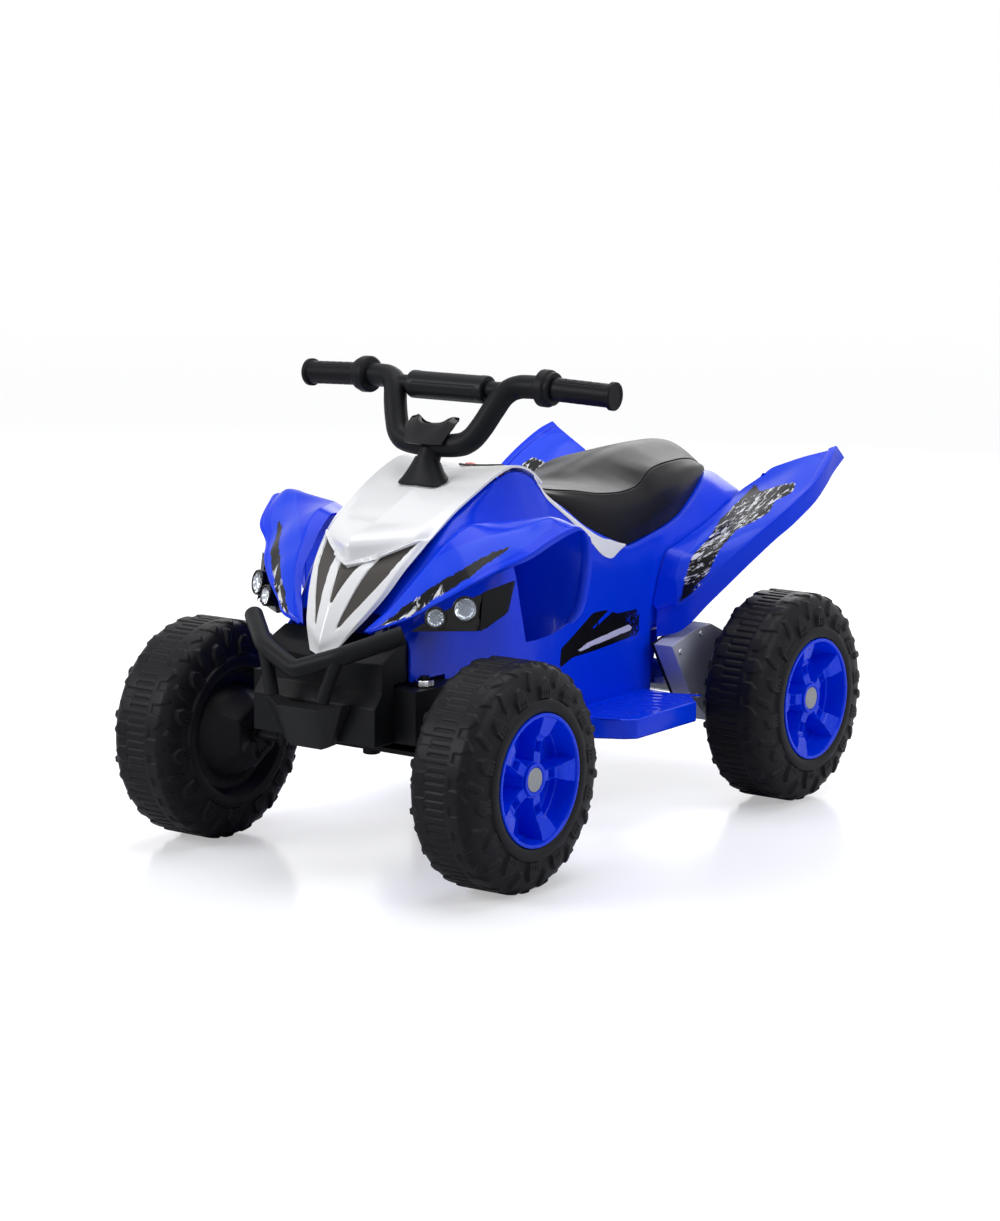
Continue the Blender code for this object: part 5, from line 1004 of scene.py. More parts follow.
WING_ROWS = [
    [(88.5, -95, 101), (90, -95, 99), (91.5, -95, 97), (93, -94.5, 95), (93, -94.5, 65)],
    [(90, -89, 125), (97, -90, 115), (107, -89, 107), (116, -87, 105), (116, -87, 72)],
    [(91.8, -83, 143), (106, -84, 134), (128, -78, 131), (146, -72, 134), (146, -72, 105)],
    [(93.5, -75, 157), (112, -74, 151), (143, -62, 156), (173, -47, 166), (173, -47, 141)],
    [(95, -61, 162), (118, -55, 160), (156, -37, 176), (191, -18, 193), (191, -18, 169)],
    [(95, -33, 170), (120, -24, 173), (163, -7, 193), (200, 12, 211), (200, 12, 187)],
    [(95, -3, 179), (122, 6, 187), (166, 25, 209), (203, 47, 228), (203, 47, 205)],
    [(94.8, 37, 194), (122, 44, 204), (165, 58, 226), (200, 77, 244), (200, 77, 221)],
    [(93.5, 62, 203), (121, 68, 215), (162, 80, 237), (196, 97, 254), (196, 97, 231)],
    [(117, 80, 225), (124, 86, 233), (156, 97, 246), (191, 112, 260), (191, 130, 245)],
]
PANEL_WALL = 0.0025
FENDER_STICKER = [(12, 5), (50, -2), (100, 0), (150, 20), (200, 46), (196, 72), (150, 56),
                  (108, 50), (60, 32), (25, 16)]
FENDER_STREAK = [(16, 10), (43, 10), (81, 20), (124, 37), (160, 46), (178, 56), (152, 53),
                 (129, 51), (103, 43), (76, 31), (43, 23), (28, 16)]
WING_STICKER = [(18, 4), (60, -34), (120, -72), (200, -112), (270, -122), (312, -108), (312, -30),
                (290, -8), (200, -8), (100, -2), (50, 4)]
WING_STREAK = [(24, -1), (71, -30), (120, -60), (163, -85), (238, -113), (290, -106), (303, -99),
               (277, -84), (262, -34), (238, -28), (231, -44), (198, -32), (185, -42), (178, -55),
               (137, -40), (80, -12), (43, -1)]


def arc_places(grid, column):
    """Distances in millimetres along a column of the grid, and across each row from it."""
    rows, columns = grid.shape[:2]
    run = np.linalg.norm(np.diff(grid[:, column], axis=0), axis=-1)
    along = np.concatenate([[0], np.cumsum(run)]) / MM
    steps = np.linalg.norm(np.diff(grid, axis=1), axis=-1)
    across = np.concatenate([np.zeros((rows, 1)), np.cumsum(steps, 1)], 1) / MM
    across = across - across[:, column:column + 1]
    return np.repeat(along[:, None], columns, 1), across


def print_sticker(thing, along, across, outline, streak):
    """Stores where each point lies in the sticker, twice because a panel has two faces."""
    spots = np.stack([along, across], -1)
    for name, values in (("along", along), ("across", across),
                         ("sticker", polygon_depth(spots, outline)),
                         ("streak", polygon_depth(spots, streak))):
        mark(thing, name, np.concatenate([values.ravel(), values.ravel()]))


def with_rim(rows, wide, deep):
    """Adds a rim along the outer edge: a flat strip, and a step down from it into the panel."""
    low, high = rows[:, 2], rows[:, 3]
    way = (low - high) / np.linalg.norm(low - high, axis=-1, keepdims=True)
    reach = np.minimum(wide, 0.3 * np.linalg.norm(low - high, axis=-1))[:, None]
    step = np.minimum(reach, deep)
    drop = rows[:, 4] - high
    drop /= np.linalg.norm(drop, axis=-1, keepdims=True)
    crest = high + way * reach
    foot = crest + way * step * 0.6 + drop * step
    return np.concatenate([rows[:, :3], foot[:, None], crest[:, None], rows[:, 3:]], 1)


def make_panel(name, node, side, rows, rim, place, radii, inside, look, marks, column):
    """One fender or wing with its rim, rounded corners and sticker, which is measured from a
    column of its grid."""
    rows = mirror(place(with_rim(np.array(rows, float), *rim)), side)
    grid = rounded(through(rows, 5), np.array(radii) * MM, 5, 4)
    panel = skin(name, grid, PANEL_WALL, mirror(place(inside), side), look, "chassis",
                 [node])
    print_sticker(panel, *arc_places(grid, column), *marks)


FENDER = dict(rows=FENDER_ROWS, rim=(5, 1.3), place=from_front,
              radii=(0, 2.5, 6, 0.8, 1.2, 2, 0), inside=(110, 60, 60), look=fender_print,
              marks=(FENDER_STICKER, FENDER_STREAK), column=8)
WING = dict(rows=WING_ROWS, rim=(9, 3.2), place=from_rear,
            radii=(0, 6, 9, 1.5, 1.5, 1.5, 0), inside=(130, 0, 60), look=wing_print,
            marks=(WING_STICKER, WING_STREAK), column=44)
for word, side in SIDES:
    make_panel(f"fender_shell_{word}", f"front_fender_{word}", side, **FENDER)
    make_panel(f"wing_shell_{word}", f"rear_fender_{word}", side, **WING)
print("panels so far:", len(PIECES))

# %% [markdown]
# ## Body shell
# One long moulding makes the tunnel, the sides, the dash and the tail.  Each station is half a
# cross section.  The corners are eased, the most at the low side and the least at the shoulder.

# %% Body tables
FRONT_STATIONS = [
    (-9, [(80, 79.5), (80, 95), (80, 118), (58, 138), (46, 143), (30, 143), (0, 143)]),
    (12, [(80, 79.5), (80, 100), (80, 130), (67, 166), (54, 172), (40, 170), (0, 166)]),
    (30, [(80, 79.5), (80, 110), (80, 150), (71.5, 185), (59, 190), (40, 186), (0, 180)]),
    (46.5, [(80, 79.5), (80, 110), (80, 165), (75.5, 204), (63, 207), (40, 202), (0, 196)]),
    (48.5, [(80, -9), (80, 60), (80, 167), (76, 206), (63.5, 209), (40, 204), (0, 198)]),
    (72, [(80, -9), (80, 60), (81, 170), (80, 219), (65.5, 227), (45, 227), (0, 227)]),
    (95, [(81, -9), (81, 60), (83, 170), (85, 221), (66.5, 238), (45, 236), (0, 236)]),
    (115, [(82, -9), (82, 60), (84, 160), (87, 219), (67.5, 247.5), (46, 245), (0, 245)]),
    (150, [(84, -9), (84, 60), (85, 135), (90, 214), (69, 264), (50, 250), (0, 250)]),
    (173, [(84, -9), (84, 60), (85, 135), (90, 211), (69.5, 269), (50, 254), (0, 254)]),
    (190, [(85, -9), (85, 60), (85, 135), (89.5, 208), (70, 266.5), (52, 254), (0, 254)]),
    (205, [(85, -9), (85, 60), (85, 135), (89, 204), (72, 259.5), (55, 244), (0, 238)]),
    (222, [(85, -9), (85, 60), (85, 135), (88.5, 200), (75, 242.5), (60, 239), (0, 233)]),
    (226, [(85, -9), (85, 60), (85.3, 125), (88.5, 198), (76.5, 238.4), (60, 238.4), (0, 232.4)]),
    (250, [(85, -9), (85, 60), (85.3, 125), (88.5, 188), (80, 224.4), (62, 224.4), (0, 223.4)]),
    (290, [(85, -9), (85, 60), (85.3, 125), (87.5, 172), (83, 199.4), (62, 199.4), (0, 199.4)]),
    (330, [(85, -9), (85, 60), (85.3, 125), (87, 158), (84, 182.4), (62, 182.4), (0, 182.4)]),
    (350, [(85, -9), (85, 60), (85.3, 125), (87, 152.5), (84, 175.4), (62, 175.4), (0, 175.4)]),
]
REAR_STATIONS = [
    (-137, [(85, -9), (85, 60), (85.5, 115), (87, 148), (84, 169.4), (62, 169.4), (0, 169.4)]),
    (-95, [(85, -9), (85, 66), (86, 80), (87.5, 150), (84, 175.4), (62, 175.4), (0, 175.4)]),
    (-91, [(62, -9), (62, 66), (87, 70), (88, 151), (83.9, 176.1), (62, 176.1), (0, 176.1)]),
    (-61, [(62, -9), (62, 66), (90, 72), (94, 160), (82, 181.4), (60, 181.4), (0, 181.4)]),
    (-56, [(70, 69), (80, 70), (90.5, 73), (94, 161), (81.7, 182.5), (60, 182.5), (0, 182.5)]),
    (-28, [(70, 72), (82, 72), (93.5, 76), (94, 168), (79, 189.4), (58, 189.4), (0, 189.4)]),
    (2, [(70, 80), (82, 80), (93.5, 90), (94, 176), (74, 201.4), (54, 201.4), (0, 201.4)]),
    (32, [(70, 95), (82, 96), (93, 110), (93.5, 190), (67, 213.9), (48, 213.9), (0, 213.9)]),
    (57, [(68, 108), (80, 110), (91, 125), (92, 200), (58, 221.9), (40, 221.9), (0, 221.9)]),
    (82, [(66, 118), (76, 120), (87, 135), (88, 203), (48, 223.9), (30, 223.9), (0, 223.9)]),
    (97, [(64, 122), (72, 124), (82, 138), (82, 196), (46, 214), (30, 215), (0, 215)]),
    (109, [(62, 124), (70, 126), (76, 138), (76, 188), (44, 200), (28, 201), (0, 201)]),
    (113, [(62, 124), (56, 124), (50, 124), (40, 124), (30, 124), (15, 124), (0, 124)]),
]
BODY_RADII = (0, 10, 14, 9, 6, 4, 20, 4, 6, 9, 14, 10, 0)
BAND_OUTLINES = {
    "sticker": [(238, 56), (262, 64), (300, 65), (386, 71), (386, 99), (345, 99), (322, 106),
                (298, 106), (268, 90), (240, 76)],
    "sliver": [(264, 67), (292, 70), (376, 78), (366, 84), (318, 79), (285, 75)],
    "swoosh": [(292, 88), (304, 90), (350, 108), (334, 108)],
}
BAND_SOFTNESS = 0.2
BAND_PALE = (0.62, 0.62, 0.80, 1)
TORN_FROM_TO = (0.098, 0.112)


def whole_section(y, half):
    """The points of a section at one distance: the drawn half, then its mirror image."""
    line = [(x, y, height) for x, height in half]
    return line + [(-x, y, height) for x, height in half[-2::-1]]


def station_rows(table, place):
    """Whole sections of a table, in metres."""
    return np.array([place(whole_section(y, half)) for y, half in table])


def band_colour(tree):
    """The side's sticker: black, with a white sliver and a slanted gap of the shell's blue.  It
    is torn towards the tail."""
    spot = add(tree, "ShaderNodeTexCoord").outputs["Object"]
    parts = add(tree, "ShaderNodeSeparateXYZ")
    feed(tree, parts.inputs[0], spot)
    black, white_share, blue_share = (
        ramp(tree, stored(tree, name), -BAND_SOFTNESS, BAND_SOFTNESS) for name in BAND_OUTLINES)
    tail = ramp(tree, parts.outputs["Y"], *TORN_FROM_TO)
    torn = maths(tree, "MULTIPLY", ink(tree, spot, 210.0, 0.42), tail)
    printed = tint(tree, torn, INK_BLACK, BLUE)
    printed = tint(tree, blue_share, printed, BLUE)
    printed = tint(tree, white_share, printed, BAND_PALE)
    return tint(tree, black, BLUE, printed)


body_print = moulded("body_print", band_colour, 0.25, coat=0.10, shine=0.14, **PEEL)
body_grid = np.concatenate([station_rows(FRONT_STATIONS, from_front),
                            station_rows(REAR_STATIONS, from_rear)])
body_grid = rounded(through(body_grid, 7), np.array(BODY_RADII) * MM, 4, 8)
shell = skin("body_moulding", body_grid, PANEL_WALL, (0, 0, 0.16), body_print, "chassis",
             ["body_shell"])
from_axle = (body_grid - FRONT_AXLE) / MM
on_side = np.abs(from_axle[..., 0]) > 70
for name, outline in BAND_OUTLINES.items():
    depth = np.where(on_side, polygon_depth(from_axle[..., 1:], outline), -50)
    mark(shell, name, np.concatenate([depth.ravel(), depth.ravel()]))
print("points in the body:", len(shell.data.vertices))

# %% [markdown]
# ## Nose cowl
# The white cowl is drawn by its left edge and its middle line.  Raised bars and a rim frame three
# dark plates, and a brow stands over them, so the surface is lifted by a mask for each form.

# %% Cowl surface
COWL_LINES = np.array([
    ((14, -49, 107), (0, -54, 104)), ((28, -36, 125.6), (0, -49.5, 114)),
    ((38.5, -21.5, 142.5), (0, -40, 137)), ((49, -5, 163), (0, -28, 160)),
    ((57, 13, 186), (0, -14, 178)), ((62.5, 33, 204.5), (0, -1.6, 188)),
    ((64.5, 42, 212), (0, -4.6, 205.3)), ((66.6, 61, 226), (0, 40, 223)),
    ((67, 80, 237), (0, 80, 243)), ((69, 110, 252), (0, 115, 257.5)),
    ((70, 150, 268.5), (0, 150, 262)), ((70.5, 173, 273.5), (0, 172, 266)),
    ((71, 190, 271), (0, 190, 266)), ((73, 205, 264), (0, 207, 262)),
    ((75, 219, 252), (0, 220, 257)),
], float)
SIDE_PLATE = [(0.34, 1.6), (0.44, 1.6), (0.62, 2.4), (0.78, 3.4), (0.87, 5.0), (0.43, 5.0),
              (0.37, 3.4)]
MIDDLE_PLATE = [(-0.02, 2.9), (0.02, 2.9), (0.22, 5.0), (-0.22, 5.0)]
SWITCH_WELL = (38, 195, 6.6, 9.6)
BUTTON_WELL = (0, 196, 7.0, 7.0)
COWL_SCALE = np.array([55.0, 21.0])
COWL_STEPS = 8
COWL_CURVE = through(COWL_LINES, COWL_STEPS)
BAR_LIFT, BROW_LIFT, WELL_DEPTH = 3.4, 4.2, 5.0
PLATE_STAND = 2.0
PLATE_WALL = 0.0011


def follow_fold(row, share):
    """Moves the rows so that row 5 lies on the fold, which climbs from the middle outwards."""
    fold = 4.55 + 1.35 * np.abs(share) ** 1.5
    above = np.where(row < 7.5, fold + (row - 5) * (7.5 - fold) / 2.5, row)
    return np.where(row < 5, row * fold / 5, above)


def cowl_base(row, share):
    """The cowl before its raised forms: a straight line from the middle to the edge."""
    at = np.clip(follow_fold(row, share) * COWL_STEPS, 0, len(COWL_CURVE) - 1.001)
    low = at.astype(int)
    blend = (at - low)[..., None]
    edge, middle = (COWL_CURVE[low, k] * (1 - blend) + COWL_CURVE[low + 1, k] * blend
                    for k in (0, 1))
    size = np.abs(share)[..., None]
    place = middle + (edge - middle) * size
    place[..., 0] *= np.where(share < 0, -1, 1)
    return place


def cowl_lift(row, share, place):
    """Millimetres added outwards: the bars and rim, the brow over them, and small wells."""
    spots = np.stack([share, row], -1) * COWL_SCALE
    sides = np.maximum(polygon_depth(spots, np.array(SIDE_PLATE) * COWL_SCALE),
                       polygon_depth(spots * [-1, 1], np.array(SIDE_PLATE) * COWL_SCALE))
    plates = np.maximum(sides, polygon_depth(spots, np.array(MIDDLE_PLATE) * COWL_SCALE))
    front_part = smooth_step(row, 0.2, 1.4) * (1 - smooth_step(row, 5.0, 5.5))
    bars = BAR_LIFT * front_part * (1 - lift(plates, 1.6))
    bars *= smooth_step(1 - np.abs(share), 0.0, 0.10)
    brow = BROW_LIFT * smooth_step(row, 5.03, 5.18) * (1 - smooth_step(row, 6.2, 8.5))
    brow *= smooth_step(1 - np.abs(share), 0.02, 0.22)
    wells = np.zeros_like(row)
    for x, y, wide, long in (SWITCH_WELL, BUTTON_WELL):
        depth = np.minimum(wide - np.abs(place[..., 0] - x), long - np.abs(place[..., 1] - y))
        wells = np.maximum(wells, WELL_DEPTH * lift(depth, 1.4))
    return bars + brow - wells


def cowl_surface(row, share, stand=None):
    """Points of the cowl's face, or of a face that stands a set height over its base."""
    place = cowl_base(row, share)
    normal = grid_normals(place)
    if np.einsum("ijk,ijk->", normal, place - [0, 60, 60]) < 0:
        normal = -normal
    added = cowl_lift(row, share, place) if stand is None else stand
    return from_front(place + normal * np.asarray(added)[..., None])


rows, shares = np.meshgrid(np.concatenate([np.arange(0, 5, 0.1), np.arange(5, 7, 0.05),
                                           np.arange(7, 12.5, 0.2), np.arange(12.5, 14.01, 0.06)]),
                           np.linspace(-1, 1, 121), indexing="ij")
skin("cowl_moulding", cowl_surface(rows, shares), PANEL_WALL, from_front((0, 90, 60)), cowl_white,
     "chassis", ["nose_cowl"], sharp=50)


def make_plate(name, low, high, bounds, side):
    """A dark plate over the cowl between two shares of its width, drawn by row."""
    t, s = np.meshgrid(np.linspace(low, high, 40), np.linspace(0, 1, 13), indexing="ij")
    table = np.array(bounds, float)
    near = np.interp(t, table[:, 0], table[:, 1])
    far = np.interp(t, table[:, 0], table[:, 2])
    grid = cowl_surface(t, (near + (far - near) * s) * side, PLATE_STAND)
    skin(name, grid, PLATE_WALL, from_front((0, 60, 60)), insert_dark, "chassis",
         [name.replace("plate", "grille")])


SIDE_BOUNDS = [(1.65, 0.35, 0.43), (2.4, 0.355, 0.61), (3.4, 0.375, 0.77), (4.95, 0.435, 0.86)]
MIDDLE_BOUNDS = [(2.95, -0.01, 0.01), (4.0, -0.11, 0.11), (4.95, -0.21, 0.21)]
for word, side in SIDES:
    make_plate(f"plate_{word}", 1.65, 4.93, SIDE_BOUNDS, side)
make_plate("plate_center", 2.95, 4.93, MIDDLE_BOUNDS, 1)
print("pieces:", len(PIECES))

# %% [markdown]
# ## Side blades
# A white strip starts at the dash, follows the seat's edge down the body and ends in a point.
# Its face is read off the body's own stations, so it lies on the shell at every height.

# %% Blades under the seat's front
BLADE = [(206, 257, 261), (222, 234.5, 240), (250, 213.5, 219), (285, 187.5, 197.5),
         (316, 164, 183), (329, 160.5, 180), (345, 166, 175), (358, 170, 172)]
BLADE_STAND = 0.9
BLADE_WALL = 0.0012


def body_side(y, height):
    """Half width of the body, in millimetres, at a distance from the front axle and a height."""
    stations = FRONT_STATIONS + [(y_rear + WHEELBASE, half) for y_rear, half in REAR_STATIONS]
    places = [station[0] for station in stations]
    widths = []
    for _, half in stations:
        side = half[2:5]
        widths.append(np.interp(height, [h for _, h in side], [x for x, _ in side]))
    widths = np.array(widths)
    return np.array([np.interp(spot, places, widths[:, k]) for k, spot in enumerate(y)])


def make_blade(word, side):
    """A slightly crowned strip on the body's side, between its lower and upper heights."""
    line = through(np.array(BLADE, float)[:, None, :], 6)[:, 0]
    share = np.linspace(0, 1, 7)
    grid = np.empty((len(line), len(share), 3))
    for j, part in enumerate(share):
        height = line[:, 1] + (line[:, 2] - line[:, 1]) * part
        crown = 0.5 * (1 - (2 * part - 1) ** 2)
        grid[:, j, 0] = body_side(line[:, 0], height) + BLADE_STAND + crown
        grid[:, j, 1] = line[:, 0]
        grid[:, j, 2] = height
    skin(f"blade_{word}", mirror(from_front(grid), side), BLADE_WALL,
         from_front((0, 280, 190)), cowl_white, "chassis")


for word, side in SIDES:
    make_blade(word, side)
print("blades reach back to", round(float(from_front((0, BLADE[-1][0], 0))[1]), 3))

# %% [markdown]
# ## Seat
# The saddle is a blow-moulded shell: a dished front, a raised back and an engraved seam line that
# runs round under the sitting surface.  The seam is a small step in each section, so the whole
# cover stays one grid.

# %% Seat cover
SEAT_STATIONS = [
    (227, 52, 239.5, 246.0, 0.84, 248.2, 247.2), (236, 60, 233.5, 242.8, 0.85, 247.2, 246.0),
    (250, 66, 225, 239.5, 0.86, 245.4, 243.6), (290, 76, 200, 234.2, 0.88, 239.4, 238.2),
    (330, 80, 183, 227.6, 0.90, 234.4, 236.2), (366, 81.5, 170, 225.4, 0.90, 236.0, 245.4),
    (392, 81.2, 174, 227.0, 0.89, 240.2, 251.4), (408, 81, 176, 231.0, 0.87, 243.6, 254.5),
    (424, 80.2, 179, 238.5, 0.84, 247.2, 257.2), (442, 79, 182, 243.0, 0.81, 250.4, 259.5),
    (475, 75, 190, 245.4, 0.80, 254.5, 262.5), (505, 69, 202, 245.0, 0.80, 255.5, 263),
    (535, 61, 214.5, 242.5, 0.81, 256.2, 262.5), (560, 52, 222.5, 237.2, 0.83, 252.0, 259.6),
    (580, 41, 224, 231.5, 0.85, 243.5, 250.5),
]
SEAT_END = [(591, [(30, 225.2), (29.5, 226.3), (28.5, 227.5), (26, 229), (25.2, 229.2),
                   (24.6, 229.8), (14, 233), (0, 234.5)]),
            (594, [(27, 225.3), (26, 225.3), (24, 225.3), (21, 225.3), (18, 225.3), (15, 225.3),
                   (8, 225.3), (0, 225.3)])]
SEAM_DEPTH = 1.1
SEAT_RADII = (0, 6, 16, 0.5, 0.5, 0.7, 26, 26, 26, 0.7, 0.5, 0.5, 16, 6, 0)


def seat_section(width, edge, crease, share, quarter, top):
    """Half a section from the edge over the engraved seam to the middle of the seat."""
    rise = crease - edge
    seam = width * share
    return [(width, edge), (width * 1.025, edge + rise * 0.35), (width * 0.99, edge + rise * 0.72),
            (seam + 0.9, crease - 0.7), (seam - SEAM_DEPTH, crease - 0.5),
            (seam - 0.6, crease + 0.9), (width * 0.42, quarter), (0, top)]


seat_halves = [(y, seat_section(*shape)) for y, *shape in SEAT_STATIONS] + SEAT_END
seat_grid = through(station_rows(seat_halves, from_front), 6)
seat_grid = rounded(seat_grid, np.array(SEAT_RADII) * MM, 6, 6)
skin("saddle_cover", seat_grid, 0.002, from_front((0, 370, 170)), seat_black, "seat",
     ["seat_cover"], sharp=50)
print("seat grid:", seat_grid.shape[:2])

# %% [markdown]
# ## Eased copies
# The plain moulded parts already have the right form, with edges as sharp as a drawing.  A copy of
# the solid is merged, its flat faces are joined, and a bevel rounds the edges as a mould would.

# %% Copies with rounded edges
BODY_OF = {name: node["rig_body"] for name, node in NODES.items()}
SLOT_OF = {row["node"]: row["material_slot"] for row in frame["record"]["subparts"]}


def softened(node, name, look, width, segments=3):
    """A merged copy of a solid with a bevel on its edges, which stands for the solid."""
    work = bmesh.new()
    work.from_mesh(NODES[node].data)
    bmesh.ops.remove_doubles(work, verts=work.verts, dist=1e-5)
    bmesh.ops.dissolve_limit(work, angle_limit=math.radians(1.0), verts=work.verts,
                             edges=work.edges)
    mesh = bpy.data.meshes.new(name)
    work.to_mesh(mesh)
    work.free()
    mesh.polygons.foreach_set("use_smooth", np.ones(len(mesh.polygons), bool))
    mesh.set_sharp_from_angle(angle=math.radians(40))
    mesh.materials.clear()
    mesh.materials.append(look)
    thing = bpy.data.objects.new(name, mesh)
    scene.collection.objects.link(thing)
    edge = thing.modifiers.new("rounded_edges", "BEVEL")
    edge.width = width
    edge.segments = segments
    edge.limit_method = "ANGLE"
    edge.angle_limit = math.radians(30)
    edge.harden_normals = True
    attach(thing, BODY_OF[node])
    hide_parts(node)
    PIECES.append(thing)
    return thing


EASED_SOLIDS = (
    ("skid_plate", "skid_shield", wedge_grey, 0.0012),
    ("front_fascia", "nose_fascia", frame_black, 0.0014),
    ("front_axle_beam", "axle_beam_moulding", frame_black, 0.0012),
    ("gearbox_cover", "gearbox_housing", gearbox_grey, 0.0016),
    ("gearbox_base", "gearbox_plate", frame_black, 0.0006),
    ("chassis_tray", "tray_moulding", frame_black, 0.0008),
    ("seat_base", "seat_pan", frame_black, 0.0005),
    ("steering_crank", "steering_crank_steel", steel_bright, 0.0005),
    ("steering_link", "steering_link_bar", frame_black, 0.0005),
    ("battery", "battery_block", battery_dark, 0.0025),
    ("control_box", "control_case", battery_dark, 0.0015),
)
for row in EASED_SOLIDS:
    softened(*row)
for word, _ in SIDES:
    softened(f"steering_knuckle_{word}", f"knuckle_steel_{word}", frame_black, 0.0005)
    softened(f"footboard_{word}", f"footboard_moulding_{word}", shell_blue, 0.0022, 4)
softened("foot_pedal", "pedal_plate", frame_black, 0.0007)
print("eased copies:", len([p for p in PIECES if p.modifiers]))

# %% [markdown]
# ## Ribs on boards and pedal
# Slanted bars on the footboards and straight ones on the pedal keep a shoe from slipping.  All
# are one kind of bar: a rounded outline swept up to a soft top.


# %% Raised bars
RIB_SIDES = 24
RIB_LEVELS = ((0, 1.0), (0.6, 0.96), (0.9, 0.84), (1.0, 0.6), (1.0, 0.0))


def raised_bar(name, start, end, width, height, look, body, up=(0, 0, 1)):
    """A bar with round ends: rings of a stadium outline, from its foot to its eased top."""
    start, end, up = (np.asarray(v, float) for v in (start, end, up))
    along = (end - start) / np.linalg.norm(end - start)
    turn = full_turn(RIB_SIDES)[:, None]
    outline = np.cos(turn) * along + np.sin(turn) * np.cross(up, along)
    nearer_end = np.where(np.cos(turn) > 0, end, start)
    middle = np.repeat(((start + end) / 2)[None], RIB_SIDES, 0)
    rings = [nearer_end + width / 2 * share * outline + up * (height * level)
             for level, share in RIB_LEVELS]
    rings = [middle] + rings + [middle + up * height]
    faces = tipped_faces(len(rings), RIB_SIDES, (0, -1))
    return piece(name, np.stack(rings), faces, look, body)


BOARD_TOP = 9.9
RIB_HEIGHT_ON_BOARD = 1.3
for word, side in SIDES:
    first = 230 if side > 0 else 332
    for k, y in enumerate(range(first, 392, 17)):
        ends = mirror([[100, y - 6, BOARD_TOP], [156, y + 14, BOARD_TOP]], side)
        raised_bar(f"board_rib_{word}_{k}", from_front(ends[0]), from_front(ends[1]), 0.0052,
                   RIB_HEIGHT_ON_BOARD * MM, shell_blue, "chassis")
pedal_tilt = math.radians(13.0)
pedal_up = np.array([0, math.sin(pedal_tilt), math.cos(pedal_tilt)])
pedal_ahead = np.array([0, -math.cos(pedal_tilt), math.sin(pedal_tilt)])
pedal_heel = from_front((-132, 318, 13.5))
for k in range(5):
    middle = pedal_heel + pedal_ahead * (0.012 + 0.009 * k) + pedal_up * 0.0009
    raised_bar(f"pedal_rib_{k}", middle - [0.016, 0, 0], middle + [0.016, 0, 0], 0.0036, 0.0012,
               grip_black, "pedal", up=pedal_up)
print("pieces:", len(PIECES))

# %% [markdown]
# ## Headlamps
# Each pod is a glossy black moulding with two deep round sockets and a matt wedge at its outer
# end.  A lamp is three pieces: a bezel, a rippled mirror bowl and a clear dome over it.

# %% Pods and lamps
LAMP_PLACES = {"outer": ((131, 11, 154.5), 0.0110), "inner": ((107, -5, 145.5), 0.0090)}
LAMP_FACING = np.array([0.44, -0.88, 0.17])
LAMP_FACETS = 12
BOWL_DEPTH = 0.0046
BOWL_WALL = 0.0004
POD_WEDGE = [
    [(141.5, 23, 134), (153.5, 44.5, 147.5), (156.5, 49.5, 177.5), (139, 31, 168.5)],
    [(137, 38, 134), (147.5, 58, 148), (150.5, 64, 176), (134, 46, 168)],
]


def make_bowl(name, spot, facing, radius):
    """A mirror bowl whose level ripples with angle and radius, so it breaks up the light."""
    turn = full_turn(LAMP_FACETS * 4)
    share = np.array([1.0, 0.92, 0.80, 0.66, 0.50, 0.34, 0.2, 0.1, 0.0])
    r, t = np.meshgrid(share, turn, indexing="ij")
    ripple = 0.24 * np.cos(LAMP_FACETS * t) * np.sin(math.pi * r) ** 2
    rings = 0.05 * np.cos(r * 15.0) * (r < 0.95)
    level = -BOWL_DEPTH * (1 - r**1.7) * (1 + ripple + rings)
    front = about_axis(spot, facing, level, radius * r, t)
    back = about_axis(spot, facing, level - BOWL_WALL, radius * r, t)
    points = np.concatenate([front, back[::-1]])
    faces = tipped_faces(len(points), len(turn), (len(share) - 1, len(share)), closed_rows=True)
    return piece(name, points, faces, chrome, "chassis", sharp=12)


def make_wedge(name, corners):
    """A block with eight corners, two rings of four, and eased edges."""
    faces = np.concatenate([grid_faces(2, 4, closed_columns=True), [[3, 2, 1, 0], [4, 5, 6, 7]]])
    block = piece(name, corners, faces, wedge_grey, "chassis")
    ease = block.modifiers.new("eased", "BEVEL")
    ease.width = 0.0012
    ease.segments = 3


BEZEL = [(-4.6, 0.10), (-4.6, 1.9), (0.2, 2.0), (1.0, 1.7), (1.3, 0.9), (0.7, 0.12),
         (-0.4, 0.04)]
DOME = [(-0.7, 0.0), (-0.7, 0.90), (-0.2, 0.96), (0.35, 0.95), (1.2, 0.86), (1.9, 0.66),
        (2.25, 0.40), (2.35, 0.0)]
for word, side in SIDES:
    softened(f"headlight_housing_{word}", f"lamp_pod_{word}", gloss_black, 0.0008)
    facing = mirror(LAMP_FACING, side)
    make_wedge(f"pod_wedge_{word}", from_front(mirror(POD_WEDGE, side)))
    for which, (place, radius) in LAMP_PLACES.items():
        spot = from_front(mirror(place, side))
        make_bowl(f"lamp_bowl_{which}_{word}", spot - facing * 0.0002, facing, radius * 0.97)
        ring = eased([(a * MM, radius + r * MM) for a, r in BEZEL], 0.0002, closed=True)
        revolve(f"lamp_bezel_{which}_{word}", ring, 56, spot, facing, gloss_black, "chassis")
        revolve(f"lamp_dome_{which}_{word}", [(a * MM, r * radius) for a, r in DOME], 56, spot,
                facing, lens_clear, "chassis", [f"headlight_lens_{which}_{word}"])
print("lamps:", 2 * len(LAMP_PLACES))

# %% [markdown]
# ## Handlebar, pad, grips and shield
# The bar is one bent tube with drums where the grips begin, and a straight bar joins its legs
# inside a foam-like sleeve.  The grips have short engraved slots, drawn as dips in their radius.

